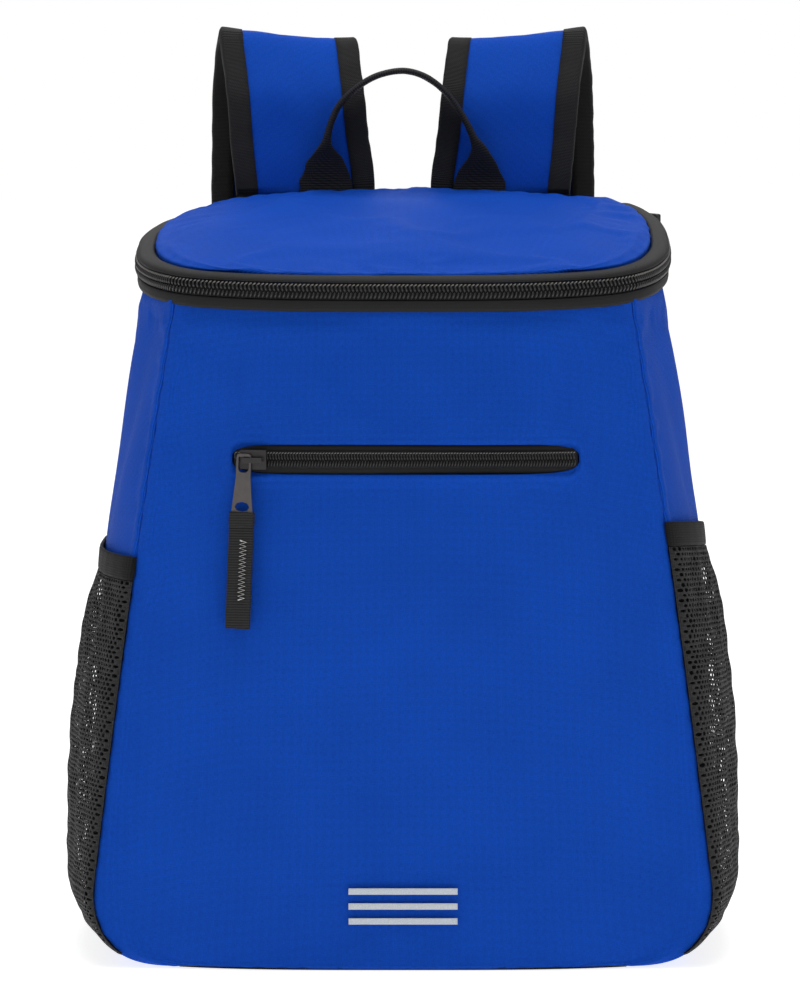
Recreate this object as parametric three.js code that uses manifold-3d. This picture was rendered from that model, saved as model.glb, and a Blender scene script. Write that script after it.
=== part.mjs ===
import * as THREE from 'three';
import { mergeVertices } from 'three/addons/utils/BufferGeometryUtils.js';
import Module from 'manifold-3d';

// Cooler backpack, in millimetres. +Z is up, the front faces -Y, and the base stands on Z = 0.

// Clearances
const GAP = 0.3; // between pieces that touch
const MITRE_GAP = 0.45; // drawn back at each mitred wall edge
const LID_GAP = 0.6; // between the lid's edge and the tape sewn to it

// Padded walls of the bag
const WALL = 5; // foam-backed cloth
const BACK_WALL = 8; // thicker pad of the back panel

// Seam round the front panel, seen from the front
const BASE_HALF = 103.5; // half width of the flat base
const WIDEST_HALF = 143.5; // half width at the widest place
const WIDEST_Z = 36; // height of the widest place
const TOP_HALF = 105; // half width at the top of the front panel
const SIDE_BOW = 1.5; // outward bow of the side seams
const CORNER_POWER = 2.5; // squareness of the bottom corners

// Depth of the bag
const SEAM_BOTTOM_Y = 80; // how far forward the front seam lies at the base
const SEAM_TOP_Y = 75; // and at the top
const FRONT_CROWN_BOTTOM = 8; // how far the front panel stands out from its seams
const FRONT_CROWN_TOP = 18.4;
const FRONT_CROWN_MIDDLE = 3; // extra fullness half way up
const FRONT_POWER = 3.5; // squareness of the front panel, seen from above
const BACK_Y = 86; // outer face of the back panel
const SIDE_BULGE = 17; // how far the side gussets stand out from their seams
const SIDE_POWER = 3; // squareness of the gussets, seen from above

// Top edge of the bag, which slopes up to the back
const RIM_Z = 312.4; // middle of the zip at the front
const RIM_SLOPE = 0.13; // rise for each millimetre to the back
const RIM_LIFT = 3.4; // how much higher the right-hand rear end stands than the middle
const WALL_DROP = 6; // walls end this far below the middle of the zip

// Back panel
const BACK_TOP_Z = 348;
const BACK_TOP_POWER = 6; // squareness of its top corners

// Lid
const LID_INSET = 4.3; // from the bag's outline in to the lid's edge
const LID_LIFT = 7; // lid edge above the middle of the zip
const LID_CROWN = 13.5; // fullness of the lid
const LID_BACK_SHARE = 0.8; // share of that fullness left at the rear edge
const LID_FRONT_SPAN = 0.75; // share of the front's width before the corner begins

// Main zip
const CHAIN_HEIGHT = 7.4;
const CHAIN_SEAT = 0.9; // from the bag's outline out to the back of the chain
const CHAIN_DEPTH = 2.7;
const TAPE = 1.2; // thickness of zip tape
const LOWER_TAPE_HEIGHT = 5.2;
const LOWER_TAPE_SEAT = 1.3; // from the outline out to the lower tape
const TAPE_FLARE = 0.5; // the tapes stand out this much more beside the chain
const UPPER_TAPE_PROUD = 3; // from the outline out to the upper tape's outer face
const MAIN_SLIDER_LENGTH = 12;
const MAIN_SLIDER_HEIGHT = 9;
const MAIN_SLIDER_DEPTH = 3;

// Front pocket zip
const POCKET_LEFT_X = -77.5;
const POCKET_RIGHT_X = 80;
const POCKET_Z = 236.1;
const POCKET_HALF_HEIGHT = 6.8;
const POCKET_POWER = 22; // how squarely the slot ends
const POCKET_TAPE_DEPTH = 2.2; // back of the tape behind the cloth's face
const POCKET_CHAIN_HEIGHT = 7.3;
const POCKET_CHAIN_DEPTH = 2;
const POCKET_CHAIN_PROUD = 1.3;

// Slider, puller and pull tab of the front pocket
const SLIDER_X = -67.6; // middle of the slider
const SLIDER_LENGTH = 12.2;
const SLIDER_WIDTH = 8.8;
const SLIDER_PLATE = 1.3;
const BRIDGE_LENGTH = 9.2;
const BRIDGE_BAR = 2.4; // height of the bridge bar
const BRIDGE_FOOT = 1.5; // thickness of each foot
const BRIDGE_THICKNESS = 1.3;
const PULLER_THICKNESS = 1.6;
const PULLER_EYE_WIDTH = 6.8;
const PULLER_END_WIDTH = 9.6;
const PULLER_LENGTH = 31;
const PULLER_LEAN = 0.042; // it hangs a little to the left, in radians
const PULLER_EYE_RIM = 1; // metal left beside the eye's hole
const PULLER_HOLE_LENGTH = 7.2;
const PULLER_HOLE_ABOVE = 1.5; // hole above the pivot
const PULLER_WINDOW_WIDTH = 6.6; // oval hole above the tab
const PULLER_WINDOW_HEIGHT = 4.6;
const PULLER_WINDOW_RIM = 1; // metal between it and the slot
const PULLER_SLOT_WIDTH = 6.2; // slot that holds the tab
const PULLER_SLOT_HEIGHT = 1.9;
const PULLER_SLOT_RIM = 1.6; // metal left below the slot
const TAB_WIDTH = 11.2;
const TAB_LENGTH = 52.2;
const TAB_THICKNESS = 3;
const TAB_LAYER = 1.3;
const TAB_NECK_WIDTH = 4.4;
const TAB_FOLD_RISE = 1.2; // fold above the neck

// Reflective bars low on the front
const BAR_COUNT = 3;
const BAR_LENGTH = 50;
const BAR_HEIGHT = 2.9;
const BAR_PITCH = 7;
const BAR_LOWEST_Z = 23.1;
const BAR_THICKNESS = 0.6;

// Mesh pockets on the sides
const NET = 1.2; // thickness of the net
const NET_SEAT = 1; // from the gusset out to the net's edge
const NET_FULLNESS = 10.2; // how far the net stands out in its middle
const NET_POWER = 2.2;
const NET_START = 0.14; // share of the outline, from the base, where the net is sewn in
const HEM_HEIGHT = 11;
const HEM_THICKNESS = 2;
const HEM_LEFT_FRONT_Z = 190;
const HEM_LEFT_BACK_Z = 187;
const HEM_RIGHT_FRONT_Z = 206;
const HEM_RIGHT_BACK_Z = 189;
const SEAM_MARGIN = 0.012; // share of the gusset left bare at each seam

// Shoulder straps
const STRAP_HALF = 34; // half of the strap's width
const STRAP_PAD = 8.3; // thickness
const STRAP_LINING = 2.5; // mesh side of that thickness
const BINDING_WIDTH = 11;
const BINDING = 1.2;
const PAD_GAP = 0.4; // between the layers of a strap
const STRAP_ROOT_X = 47.5;
const STRAP_SPREAD = 25; // how far outward the strap wanders to its lower end
const STRAP_Y = 83.4;
const STRAP_LOOP = 40; // from the rising part back to the hanging part
const STRAP_RISE = 73.5; // height of the fold's middle above the back panel
const STRAP_DROP = 215; // from the back panel's top down to the pad's end

// Webbing and buckles below the straps
const WEBBING_HALF = 12.5;
const WEBBING = 1.4;
const BUCKLE_WIDTH = 33;
const BUCKLE_THICKNESS = 3.2;
const BUCKLE_BAR = 3.5;
const BUCKLE_SLOT = 4.5;
const BUCKLE_START = 6; // from the pad's end to the buckle
const TAIL_LENGTH = 45; // loose end of the webbing below the buckle
const ANCHOR_INSET = 27.5; // from the widest place in to where the webbing is sewn
const ANCHOR_X = WIDEST_HALF - ANCHOR_INSET;
const ANCHOR_Z = 28;

// Carry handle
const HANDLE_HALF = 37.4; // half of the distance between its feet
const HANDLE_RISE = 60.5; // height of its middle above the back panel's top
const HANDLE_WIDTH = 25.4; // webbing laid flat
const HANDLE_CORD = 3.1; // the same webbing folded and sewn, seen from the front
const HANDLE_FOLD = 11.6; // and its depth
const HANDLE_LEAN = 6; // how far the arch stands forward of its feet
const HANDLE_LAYER = 1.6;

// Fineness of the meshes
const FRONT_COLUMNS = 14;
const BACK_COLUMNS = 8;
const SIDE_COLUMNS = 10;
const WALL_ROWS = 17;
const LID_COLUMNS = 12;
const LID_ROWS = 12;
const BAND_STEPS_SIDE = 13;
const BAND_STEPS_FRONT = 15;
const STRAP_STEPS = 22;
const NET_COLUMNS = 10;
const NET_ROWS = 12;
const HANDLE_STEPS = 28;
const CORNER_SHARE = 0.34; // share of the rows that goes round the bottom corner

// Colours
const BLUE = new THREE.Color(0.004, 0.05, 0.32);
const LIGHT_BLUE = new THREE.Color(0.01, 0.07, 0.4);
const BLACK = new THREE.Color(0.02, 0.02, 0.021);
const METAL = new THREE.Color(0.09, 0.085, 0.083);
const SILVER = new THREE.Color(0.48, 0.52, 0.56);

// Fullness of a gusset by height, from the base to the rim
const GUSSET_ROWS = [
  { height: 0, fullness: 0 },
  { height: 0.03, fullness: 0.2 },
  { height: 0.12, fullness: 0.4 },
  { height: 0.32, fullness: 0.55 },
  { height: 0.5, fullness: 0.82 },
  { height: 0.65, fullness: 1 },
  { height: 1, fullness: 1 },
  { height: 1.15, fullness: 0.95 },
];

// Fullness of a mesh pocket along its outline, from the base to the hem
const NET_TABLE = [
  { along: 0, fullness: 0.12 },
  { along: 0.2, fullness: 0.62 },
  { along: 0.4, fullness: 0.85 },
  { along: 0.62, fullness: 1 },
  { along: 0.85, fullness: 0.62 },
  { along: 1, fullness: 0.1 },
];

// Middle line of a shoulder strap: shares of its spread, loop, rise and drop, lean in degrees
const STRAP_TABLE = [
  { place: 'root', across: 0, back: 0, up: 0, down: 0, lean: 0, width: 1, pad: 0.62 },
  { place: 'seam', across: 0, back: 0, up: 0.06, down: 0, lean: 0, width: 1, pad: 0.75 },
  { place: 'rising', across: 0.1, back: 0.03, up: 0.34, down: 0, lean: 1, width: 0.99, pad: 1 },
  { place: 'shoulder', across: 0.2, back: 0.08, up: 0.7, down: 0, lean: 3, width: 0.98, pad: 1 },
  { place: 'fold', across: 0.36, back: 0.48, up: 1, down: 0, lean: 6, width: 0.99, pad: 0.92 },
  { place: 'behind', across: 0.48, back: 0.93, up: 0.72, down: 0, lean: 4, width: 1, pad: 1 },
  { place: 'falling', across: 0.52, back: 1, up: 0.3, down: 0, lean: 2, width: 1, pad: 1 },
  { place: 'hanging', across: 0.58, back: 1, up: 0, down: 0.2, lean: 0, width: 0.97, pad: 1 },
  { place: 'lower', across: 0.76, back: 0.82, up: 0, down: 0.6, lean: 0, width: 0.82, pad: 1 },
  { place: 'end', across: 1, back: 0.52, up: 0, down: 1, lean: 0, width: 0.62, pad: 0.8 },
];

// Carry handle from its left foot to its right: shares of its half span and rise,
// then of the way from flat webbing to folded cord
const HANDLE_TABLE = [
  { across: -1, up: 0, fold: 0 },
  { across: -1, up: 0.13, fold: 0.02 },
  { across: -1, up: 0.29, fold: 0.3 },
  { across: -0.99, up: 0.43, fold: 0.9 },
  { across: -0.91, up: 0.62, fold: 1 },
  { across: -0.79, up: 0.755, fold: 1 },
  { across: -0.41, up: 0.94, fold: 1 },
  { across: -0.02, up: 1, fold: 1 },
  { across: 0.25, up: 0.965, fold: 1 },
  { across: 0.52, up: 0.85, fold: 1 },
  { across: 0.75, up: 0.665, fold: 1 },
  { across: 0.92, up: 0.46, fold: 0.95 },
  { across: 0.99, up: 0.35, fold: 0.66 },
  { across: 1, up: 0.16, fold: 0.08 },
  { across: 1, up: 0, fold: 0 },
];

const wasm = await Module();
wasm.setup();

const lerp = THREE.MathUtils.lerp;
const clamp = THREE.MathUtils.clamp;
const vec = (x, y, z) => new THREE.Vector3(x, y, z);

// Value of a table's column at a place, smooth between its rows
function tableValue(rows, key, column, at) {
  const places = rows.map((row) => row[key]);
  const values = rows.map((row) => row[column]);
  const smooth = new THREE.CubicInterpolant(places, values, 1);
  return smooth.evaluate(clamp(at, places[0], places[places.length - 1]))[0];
}

// Turn a mesh's faces outward where they point in
function faceOutward(geometry) {
  const place = geometry.attributes.position;
  const index = geometry.index.array;
  let volume = 0;
  const a = vec(0, 0, 0);
  const b = vec(0, 0, 0);
  const c = vec(0, 0, 0);
  for (let i = 0; i < index.length; i += 3) {
    a.fromBufferAttribute(place, index[i]);
    b.fromBufferAttribute(place, index[i + 1]);
    c.fromBufferAttribute(place, index[i + 2]);
    volume += a.dot(b.cross(c));
  }
  if (volume < 0) {
    for (let i = 0; i < index.length; i += 3) {
      [index[i + 1], index[i + 2]] = [index[i + 2], index[i + 1]];
    }
  }
  geometry.computeVertexNormals();
  return geometry;
}

// A closed slab: place(u, v, w) puts each point of a unit block, u, v and w running from 0 to 1
function warpedSlab(columns, rows, layers, place) {
  const block = new THREE.BoxGeometry(1, 1, 1, columns, rows, layers);
  block.deleteAttribute('normal');
  block.deleteAttribute('uv');
  block.clearGroups();
  const slab = mergeVertices(block, 1e-5);
  const points = slab.attributes.position;
  for (let i = 0; i < points.count; i += 1) {
    const p = place(points.getX(i) + 0.5, points.getY(i) + 0.5, points.getZ(i) + 0.5);
    points.setXYZ(i, p.x, p.y, p.z);
  }
  return faceOutward(slab);
}

function toManifold(geometry) {
  const bare = new THREE.BufferGeometry();
  bare.setAttribute('position', geometry.attributes.position.clone());
  if (geometry.index) bare.setIndex(geometry.index.clone());
  const merged = mergeVertices(bare, 1e-4);
  return new wasm.Manifold(new wasm.Mesh({
    numProp: 3,
    vertProperties: new Float32Array(merged.attributes.position.array),
    triVerts: new Uint32Array(merged.index.array),
  }));
}

function fromManifold(solid) {
  const mesh = solid.getMesh();
  const geometry = new THREE.BufferGeometry();
  geometry.setAttribute('position', new THREE.BufferAttribute(new Float32Array(mesh.vertProperties), 3));
  geometry.setIndex(new THREE.BufferAttribute(new Uint32Array(mesh.triVerts), 1));
  geometry.computeVertexNormals();
  return geometry;
}

// Block between two corners
function block(x0, y0, z0, x1, y1, z1) {
  const box = new THREE.BoxGeometry(x1 - x0, y1 - y0, z1 - z0);
  return box.translate((x0 + x1) / 2, (y0 + y1) / 2, (z0 + z1) / 2);
}

// Outline and surfaces of the body

const frontY = SEAM_TOP_Y + FRONT_CROWN_TOP; // how far forward the front stands at the top
const bodyDepth = frontY + BACK_Y;

// Middle of the main zip above a point of the plan
function rimZ(x, y) {
  const back = (y + frontY) / bodyDepth;
  return RIM_Z + (RIM_SLOPE * bodyDepth + (RIM_LIFT * x) / TOP_HALF) * back;
}

const wallTopZ = (x, y) => rimZ(x, y) - WALL_DROP;
const frontTopZ = RIM_Z - WALL_DROP; // top of the front panel in the middle

// Half width of the body's seams at a height above the bottom corner
function seamHalf(z) {
  const share = (z - WIDEST_Z) / (frontTopZ - WIDEST_Z);
  return lerp(WIDEST_HALF, TOP_HALF, share) + SIDE_BOW * Math.sin(Math.PI * clamp(share, 0, 1));
}

// Point of the seam's outline, from the base's edge (t = 0) round the corner up to a top (t = 1)
function outline(t, top, inset) {
  if (t >= CORNER_SHARE) {
    const z = lerp(WIDEST_Z, top, (t - CORNER_SHARE) / (1 - CORNER_SHARE));
    return { x: seamHalf(z) - inset, z };
  }
  const angle = (Math.PI / 2) * (1 - t / CORNER_SHARE);
  const power = 2 / CORNER_POWER;
  return {
    x: BASE_HALF + (WIDEST_HALF - inset - BASE_HALF) * Math.cos(angle) ** power,
    z: WIDEST_Z - (WIDEST_Z - inset) * Math.sin(angle) ** power,
  };
}

const seamY = (z) => -lerp(SEAM_BOTTOM_Y, SEAM_TOP_Y, z / frontTopZ);

// Outer face of the front panel: u runs from -1 at the left seam to 1 at the right
function frontFaceY(u, z) {
  const share = clamp(z / frontTopZ, 0, 1);
  const crown = lerp(FRONT_CROWN_BOTTOM, FRONT_CROWN_TOP, share)
    + FRONT_CROWN_MIDDLE * Math.sin(Math.PI * share);
  return seamY(z) - crown * (1 - Math.abs(u) ** FRONT_POWER);
}

const frontFaceAt = (x, z) => frontFaceY(x / seamHalf(z), z);

const bulgeAt = (z) => SIDE_BULGE * tableValue(GUSSET_ROWS, 'height', 'fullness', z / frontTopZ);
const sideShape = (v) => 1 - Math.abs(1 - 2 * v) ** SIDE_POWER;

// Point of a gusset: v runs from 0 at the front seam to 1 at the back seam
function gussetPoint(side, t, v, depth) {
  const roughY = lerp(seamY(frontTopZ), BACK_Y, v);
  const p = outline(t, wallTopZ(side * TOP_HALF, roughY), depth * WALL);
  const y = lerp(seamY(p.z) + depth * WALL, BACK_Y - depth * BACK_WALL, v);
  return vec(side * (p.x + bulgeAt(p.z) * sideShape(v)), y, p.z);
}

// Outer face of a gusset at a height
function gussetFace(side, z, v, out) {
  const y = lerp(seamY(z), BACK_Y, v);
  return vec(side * (seamHalf(z) + bulgeAt(z) * sideShape(v) + out), y, z);
}

// Plan of the rim, from the left rear end round the front to the right rear end

const bandEnd = (BACK_Y - BACK_WALL - LID_GAP - seamY(frontTopZ)) / (BACK_Y - seamY(frontTopZ));

// along runs from -2 through -1 (left seam) and 1 (right seam) to 2
function planPoint(along) {
  if (Math.abs(along) <= 1) {
    return new THREE.Vector2(along * TOP_HALF, frontFaceY(along, frontTopZ));
  }
  const v = (Math.abs(along) - 1) * bandEnd;
  const p = gussetFace(Math.sign(along), frontTopZ, v, 0);
  return new THREE.Vector2(p.x, p.y);
}

// The same plan moved outward by an offset
function planOffset(along, offset) {
  const step = 0.04;
  const before = planPoint(Math.max(along - step, -2));
  const after = planPoint(Math.min(along + step, 2));
  const run = after.sub(before).normalize();
  const out = new THREE.Vector2(run.y, -run.x);
  return planPoint(along).add(out.multiplyScalar(offset));
}

// Where the steps along the rim lie
const bandStops = [];
for (let i = 0; i < BAND_STEPS_SIDE; i += 1) {
  bandStops.push(-2 + i / BAND_STEPS_SIDE);
}
for (let i = 0; i < BAND_STEPS_FRONT; i += 1) {
  bandStops.push(-1 + (2 * i) / BAND_STEPS_FRONT);
}
for (let i = 0; i <= BAND_STEPS_SIDE; i += 1) {
  bandStops.push(1 + i / BAND_STEPS_SIDE);
}

// A strip along the rim: section(p, w) gives its offset from the outline and its height
function rimStrip(columns, section) {
  const steps = bandStops.length - 1;
  return warpedSlab(columns, steps, 1, (p, run, w) => {
    const along = bandStops[Math.round(run * steps)];
    const cut = section(p, w);
    const plan = planOffset(along, cut.offset);
    const edge = planOffset(along, 0);
    return vec(plan.x, plan.y, rimZ(edge.x, edge.y) + cut.height);
  });
}

// Walls of the bag

function makeFrontPanel() {
  const panel = warpedSlab(FRONT_COLUMNS, WALL_ROWS, 1, (cu, t, w) => {
    const u = 2 * cu - 1;
    const top = wallTopZ(u * TOP_HALF, frontFaceY(u, frontTopZ));
    const p = outline(t, top, w * WALL + MITRE_GAP);
    return vec(u * p.x, frontFaceY(u, p.z) + w * WALL, p.z);
  });
  const slot = toManifold(makePocketSlot());
  const cut = toManifold(panel).subtract(slot);
  return fromManifold(cut);
}

// Half height of the pocket's slot at a share of its half length
const slotHalf = (u) => POCKET_HALF_HEIGHT * Math.sqrt(1 - Math.abs(u) ** POCKET_POWER);
const pocketMiddleX = (POCKET_LEFT_X + POCKET_RIGHT_X) / 2;
const pocketHalfLength = (POCKET_RIGHT_X - POCKET_LEFT_X) / 2;

function makePocketSlot() {
  const turns = 36;
  const shape = new THREE.Shape();
  for (let i = 0; i < turns; i += 1) {
    const angle = (2 * Math.PI * (i + 0.5)) / turns;
    const u = Math.sign(Math.cos(angle)) * Math.abs(Math.cos(angle)) ** (2 / POCKET_POWER);
    const x = pocketMiddleX + u * pocketHalfLength;
    const z = POCKET_Z + Math.sign(Math.sin(angle)) * slotHalf(u);
    if (i === 0) shape.moveTo(x, z);
    else shape.lineTo(x, z);
  }
  const depth = 8 * WALL;
  const slot = new THREE.ExtrudeGeometry(shape, { depth, bevelEnabled: false, curveSegments: 1 });
  slot.rotateX(Math.PI / 2);
  return slot.translate(0, frontFaceAt(0, POCKET_Z) + depth / 2, 0);
}

function makeGusset(side) {
  return warpedSlab(SIDE_COLUMNS, WALL_ROWS, 1, (v, t, w) => gussetPoint(side, t, v, w));
}

function makeBasePanel() {
  const half = BASE_HALF - MITRE_GAP;
  return warpedSlab(FRONT_COLUMNS, 3, 1, (cu, v, w) => {
    const u = 2 * cu - 1;
    const front = frontFaceY(u, 0) + w * WALL + MITRE_GAP;
    const back = BACK_Y - w * BACK_WALL - MITRE_GAP;
    return vec(u * half, lerp(front, back, v), w * WALL);
  });
}

// Height of the back panel's top edge
function backTopZ(u) {
  const side = wallTopZ(u * TOP_HALF, BACK_Y);
  return lerp(side, BACK_TOP_Z, Math.sqrt(1 - Math.abs(u) ** BACK_TOP_POWER));
}

function makeBackPanel() {
  return warpedSlab(BACK_COLUMNS, WALL_ROWS, 1, (cu, t, w) => {
    const u = 2 * cu - 1;
    const p = outline(t, backTopZ(u), w * WALL + MITRE_GAP);
    return vec(u * p.x, BACK_Y - w * BACK_WALL, p.z);
  });
}

const lidOffset = -(LID_INSET + LID_GAP);
const lidBackY = BACK_Y - BACK_WALL - GAP;

// Right-hand edge of the lid: its first row reaches the back panel, the others follow the rim
function lidEdge(row) {
  const place = Math.max(row * LID_ROWS - 1, 0) / (LID_ROWS - 1);
  const edge = planOffset(lerp(2, LID_FRONT_SPAN, place), lidOffset);
  if (row * LID_ROWS > 0.5) return edge;
  const run = edge.clone().sub(planOffset(1.96, lidOffset));
  return edge.addScaledVector(run, (lidBackY - edge.y) / run.y);
}

// Lid: rows run from the rear edge to the front, each between two points of its edge
function makeLid() {
  const frontCorner = planOffset(LID_FRONT_SPAN, lidOffset);
  const lidFrontY = planOffset(0, lidOffset).y;
  return warpedSlab(LID_COLUMNS, LID_ROWS, 1, (cu, row, w) => {
    const u = 2 * cu - 1;
    const right = lidEdge(row);
    const front = planOffset(u * LID_FRONT_SPAN, lidOffset);
    const x = (right.x * front.x) / frontCorner.x;
    const y = right.y + (front.y - frontCorner.y) * row ** 3;
    const share = clamp((y - lidFrontY) / (lidBackY - lidFrontY), 0, 1);
    const across = (1 - Math.abs(u) ** 4) ** 0.6;
    const alongLid = (1 - (1 - share) ** 3) * (1 - (1 - LID_BACK_SHARE) * share ** 4);
    const z = rimZ(x, y) + LID_LIFT + LID_CROWN * across * alongLid;
    return vec(x, y, z - w * WALL);
  });
}

// Main zip

const chainHalf = CHAIN_HEIGHT / 2;

function makeLowerTape() {
  return rimStrip(1, (p, w) => ({
    offset: LOWER_TAPE_SEAT + p * TAPE_FLARE + w * TAPE,
    height: lerp(-LOWER_TAPE_HEIGHT, 0, p) - chainHalf - GAP,
  }));
}

function makeMainChain() {
  return rimStrip(1, (p, w) => ({
    offset: CHAIN_SEAT + w * CHAIN_DEPTH,
    height: lerp(-chainHalf, chainHalf, p),
  }));
}

// The upper tape curls from the chain in over the lid's edge
function makeUpperTape() {
  const innerEdge = -LID_INSET;
  const reach = UPPER_TAPE_PROUD - innerEdge;
  const foot = chainHalf + GAP;
  return rimStrip(3, (p, w) => {
    const angle = (Math.PI / 2) * p;
    return {
      offset: innerEdge + (reach - w * TAPE) * Math.cos(angle),
      height: foot + (LID_LIFT - foot - w * TAPE) * Math.sin(angle),
    };
  });
}

// The slider of the main zip is parked at the rear end of the right side
function makeMainSlider() {
  const along = 1.9;
  const at = planOffset(along, 0);
  const next = planOffset(along + 0.03, 0);
  const seat = CHAIN_SEAT + CHAIN_DEPTH + GAP;
  const plate = block(
    -MAIN_SLIDER_LENGTH / 2, -seat - MAIN_SLIDER_DEPTH, -MAIN_SLIDER_HEIGHT / 2,
    MAIN_SLIDER_LENGTH / 2, -seat, MAIN_SLIDER_HEIGHT / 2,
  );
  const turn = Math.atan2(next.y - at.y, next.x - at.x);
  plate.rotateZ(turn);
  return plate.translate(at.x, at.y, rimZ(at.x, at.y));
}

// Front pocket zip, laid along the front panel's face; out is measured from that face

function pocketStrip(columns, halfHeight, endShare, nearOut, farOut) {
  return warpedSlab(columns, 1, 1, (cu, v, w) => {
    const u = (2 * cu - 1) * endShare;
    const x = pocketMiddleX + u * pocketHalfLength;
    const z = POCKET_Z + (2 * v - 1) * halfHeight(u);
    return vec(x, frontFaceAt(x, POCKET_Z) - lerp(nearOut, farOut, w), z);
  });
}

function makePocketTape() {
  const ends = 1 - (2 * GAP) / pocketHalfLength;
  const back = -POCKET_TAPE_DEPTH;
  return pocketStrip(22, (u) => slotHalf(u) - GAP, ends, back, back + TAPE);
}

function makePocketChain() {
  const near = POCKET_CHAIN_PROUD - POCKET_CHAIN_DEPTH;
  const half = POCKET_CHAIN_HEIGHT / 2;
  const fits = (1 - ((half + GAP) / POCKET_HALF_HEIGHT) ** 2) ** (1 / POCKET_POWER);
  return pocketStrip(18, () => half, fits, near, POCKET_CHAIN_PROUD);
}

// Slider, puller and tab in their own frame: X along the zip, Z up the cloth, -Y outward

const plateNear = POCKET_CHAIN_PROUD + 2 * GAP;
const plateFar = plateNear + SLIDER_PLATE;
const pullerNear = plateFar + GAP;
const pullerFar = pullerNear + PULLER_THICKNESS;
const bridgeNear = pullerFar + GAP;
const bridgeFar = bridgeNear + BRIDGE_THICKNESS;
const pivotX = -BRIDGE_LENGTH / 2 + BRIDGE_FOOT / 2;

function makePocketSlider() {
  const half = SLIDER_WIDTH / 2;
  const chain = POCKET_CHAIN_HEIGHT / 2 + GAP;
  const ends = SLIDER_LENGTH / 2;
  const foot = BRIDGE_LENGTH / 2;
  const low = -BRIDGE_BAR / 2;
  let solid = toManifold(block(-ends, -plateFar, -half, ends, -plateNear, half));
  const parts = [
    block(-ends, -plateNear, chain, ends, -GAP, half),
    block(-ends, -plateNear, -half, ends, -GAP, -chain),
    block(-foot, -bridgeFar, low, foot, -bridgeNear, -low),
    block(-foot, -bridgeFar, -BRIDGE_FOOT / 2, -foot + BRIDGE_FOOT, -plateFar, BRIDGE_FOOT / 2),
    block(foot - BRIDGE_FOOT, -bridgeFar, -BRIDGE_FOOT / 2, foot, -plateFar, BRIDGE_FOOT / 2),
  ];
  parts.forEach((piece) => {
    solid = solid.add(toManifold(piece));
  });
  return fromManifold(solid);
}

// Outline of the puller, hung from the pivot: narrow eye, wider lower end
function makePuller() {
  const top = PULLER_HOLE_ABOVE + PULLER_EYE_RIM + 0.4;
  const bottom = top - PULLER_LENGTH;
  const eye = PULLER_EYE_WIDTH / 2;
  const end = PULLER_END_WIDTH / 2;
  const shape = new THREE.Shape();
  shape.moveTo(-eye, top - eye / 2);
  shape.quadraticCurveTo(-eye, top, -eye / 2, top);
  shape.lineTo(eye / 2, top);
  shape.quadraticCurveTo(eye, top, eye, top - eye / 2);
  shape.lineTo(eye, top - PULLER_LENGTH * 0.35);
  shape.lineTo(end, bottom + end);
  shape.quadraticCurveTo(end, bottom, end / 2, bottom);
  shape.lineTo(-end / 2, bottom);
  shape.quadraticCurveTo(-end, bottom, -end, bottom + end);
  shape.lineTo(-eye, top - PULLER_LENGTH * 0.35);
  const inner = eye - PULLER_EYE_RIM;
  const eyeTop = PULLER_HOLE_ABOVE;
  const eyeBottom = eyeTop - PULLER_HOLE_LENGTH;
  const hole = new THREE.Path();
  hole.moveTo(-inner, eyeTop);
  hole.lineTo(-inner, eyeBottom + inner);
  hole.quadraticCurveTo(-inner, eyeBottom, 0, eyeBottom);
  hole.quadraticCurveTo(inner, eyeBottom, inner, eyeBottom + inner);
  hole.lineTo(inner, eyeTop);
  const slotLow = bottom + PULLER_SLOT_RIM;
  const slotHigh = slotLow + PULLER_SLOT_HEIGHT;
  const slotEnd = PULLER_SLOT_WIDTH / 2;
  const slot = new THREE.Path();
  slot.moveTo(-slotEnd, slotLow);
  slot.lineTo(slotEnd, slotLow);
  slot.lineTo(slotEnd, slotHigh);
  slot.lineTo(-slotEnd, slotHigh);
  slot.closePath();
  const oval = new THREE.Path();
  oval.absellipse(
    0, slotHigh + PULLER_WINDOW_RIM + PULLER_WINDOW_HEIGHT / 2,
    PULLER_WINDOW_WIDTH / 2, PULLER_WINDOW_HEIGHT / 2, 0, 2 * Math.PI,
  );
  shape.holes.push(hole, slot, oval);
  const plate = new THREE.ExtrudeGeometry(shape, {
    depth: PULLER_THICKNESS, bevelEnabled: false, curveSegments: 4,
  });
  plate.rotateX(Math.PI / 2);
  plate.rotateY(PULLER_LEAN);
  return plate.translate(pivotX, -pullerNear, 0);
}

// The tab's webbing is folded through the puller's lower slot and sewn to itself
function makePullTab() {
  const bottom = PULLER_HOLE_ABOVE + PULLER_EYE_RIM + 0.4 - PULLER_LENGTH;
  const neckLow = bottom + PULLER_SLOT_RIM + GAP;
  const neckHigh = neckLow + TAB_LAYER;
  const top = neckHigh + TAB_FOLD_RISE;
  const half = TAB_WIDTH / 2;
  const middle = (pullerNear + pullerFar) / 2;
  const near = pullerNear - GAP - TAB_LAYER;
  const far = pullerFar + GAP + TAB_LAYER;
  const sewn = bottom - 2 * GAP;
  const end = neckHigh - TAB_LENGTH;
  const neck = TAB_NECK_WIDTH / 2;
  let solid = toManifold(block(
    -half, -middle - TAB_THICKNESS / 2, end, half, -middle + TAB_THICKNESS / 2, sewn,
  ));
  const parts = [
    block(-half, -far, sewn - TAB_LAYER, half, -near, sewn),
    block(-half, -far, sewn - TAB_LAYER, half, -pullerFar - GAP, top),
    block(-half, -pullerNear + GAP, sewn - TAB_LAYER, half, -near, top),
    block(-neck, -far, neckLow, neck, -near, neckHigh),
  ];
  parts.forEach((piece) => {
    solid = solid.add(toManifold(piece));
  });
  return fromManifold(solid).rotateY(PULLER_LEAN).translate(pivotX, 0, 0);
}

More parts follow.
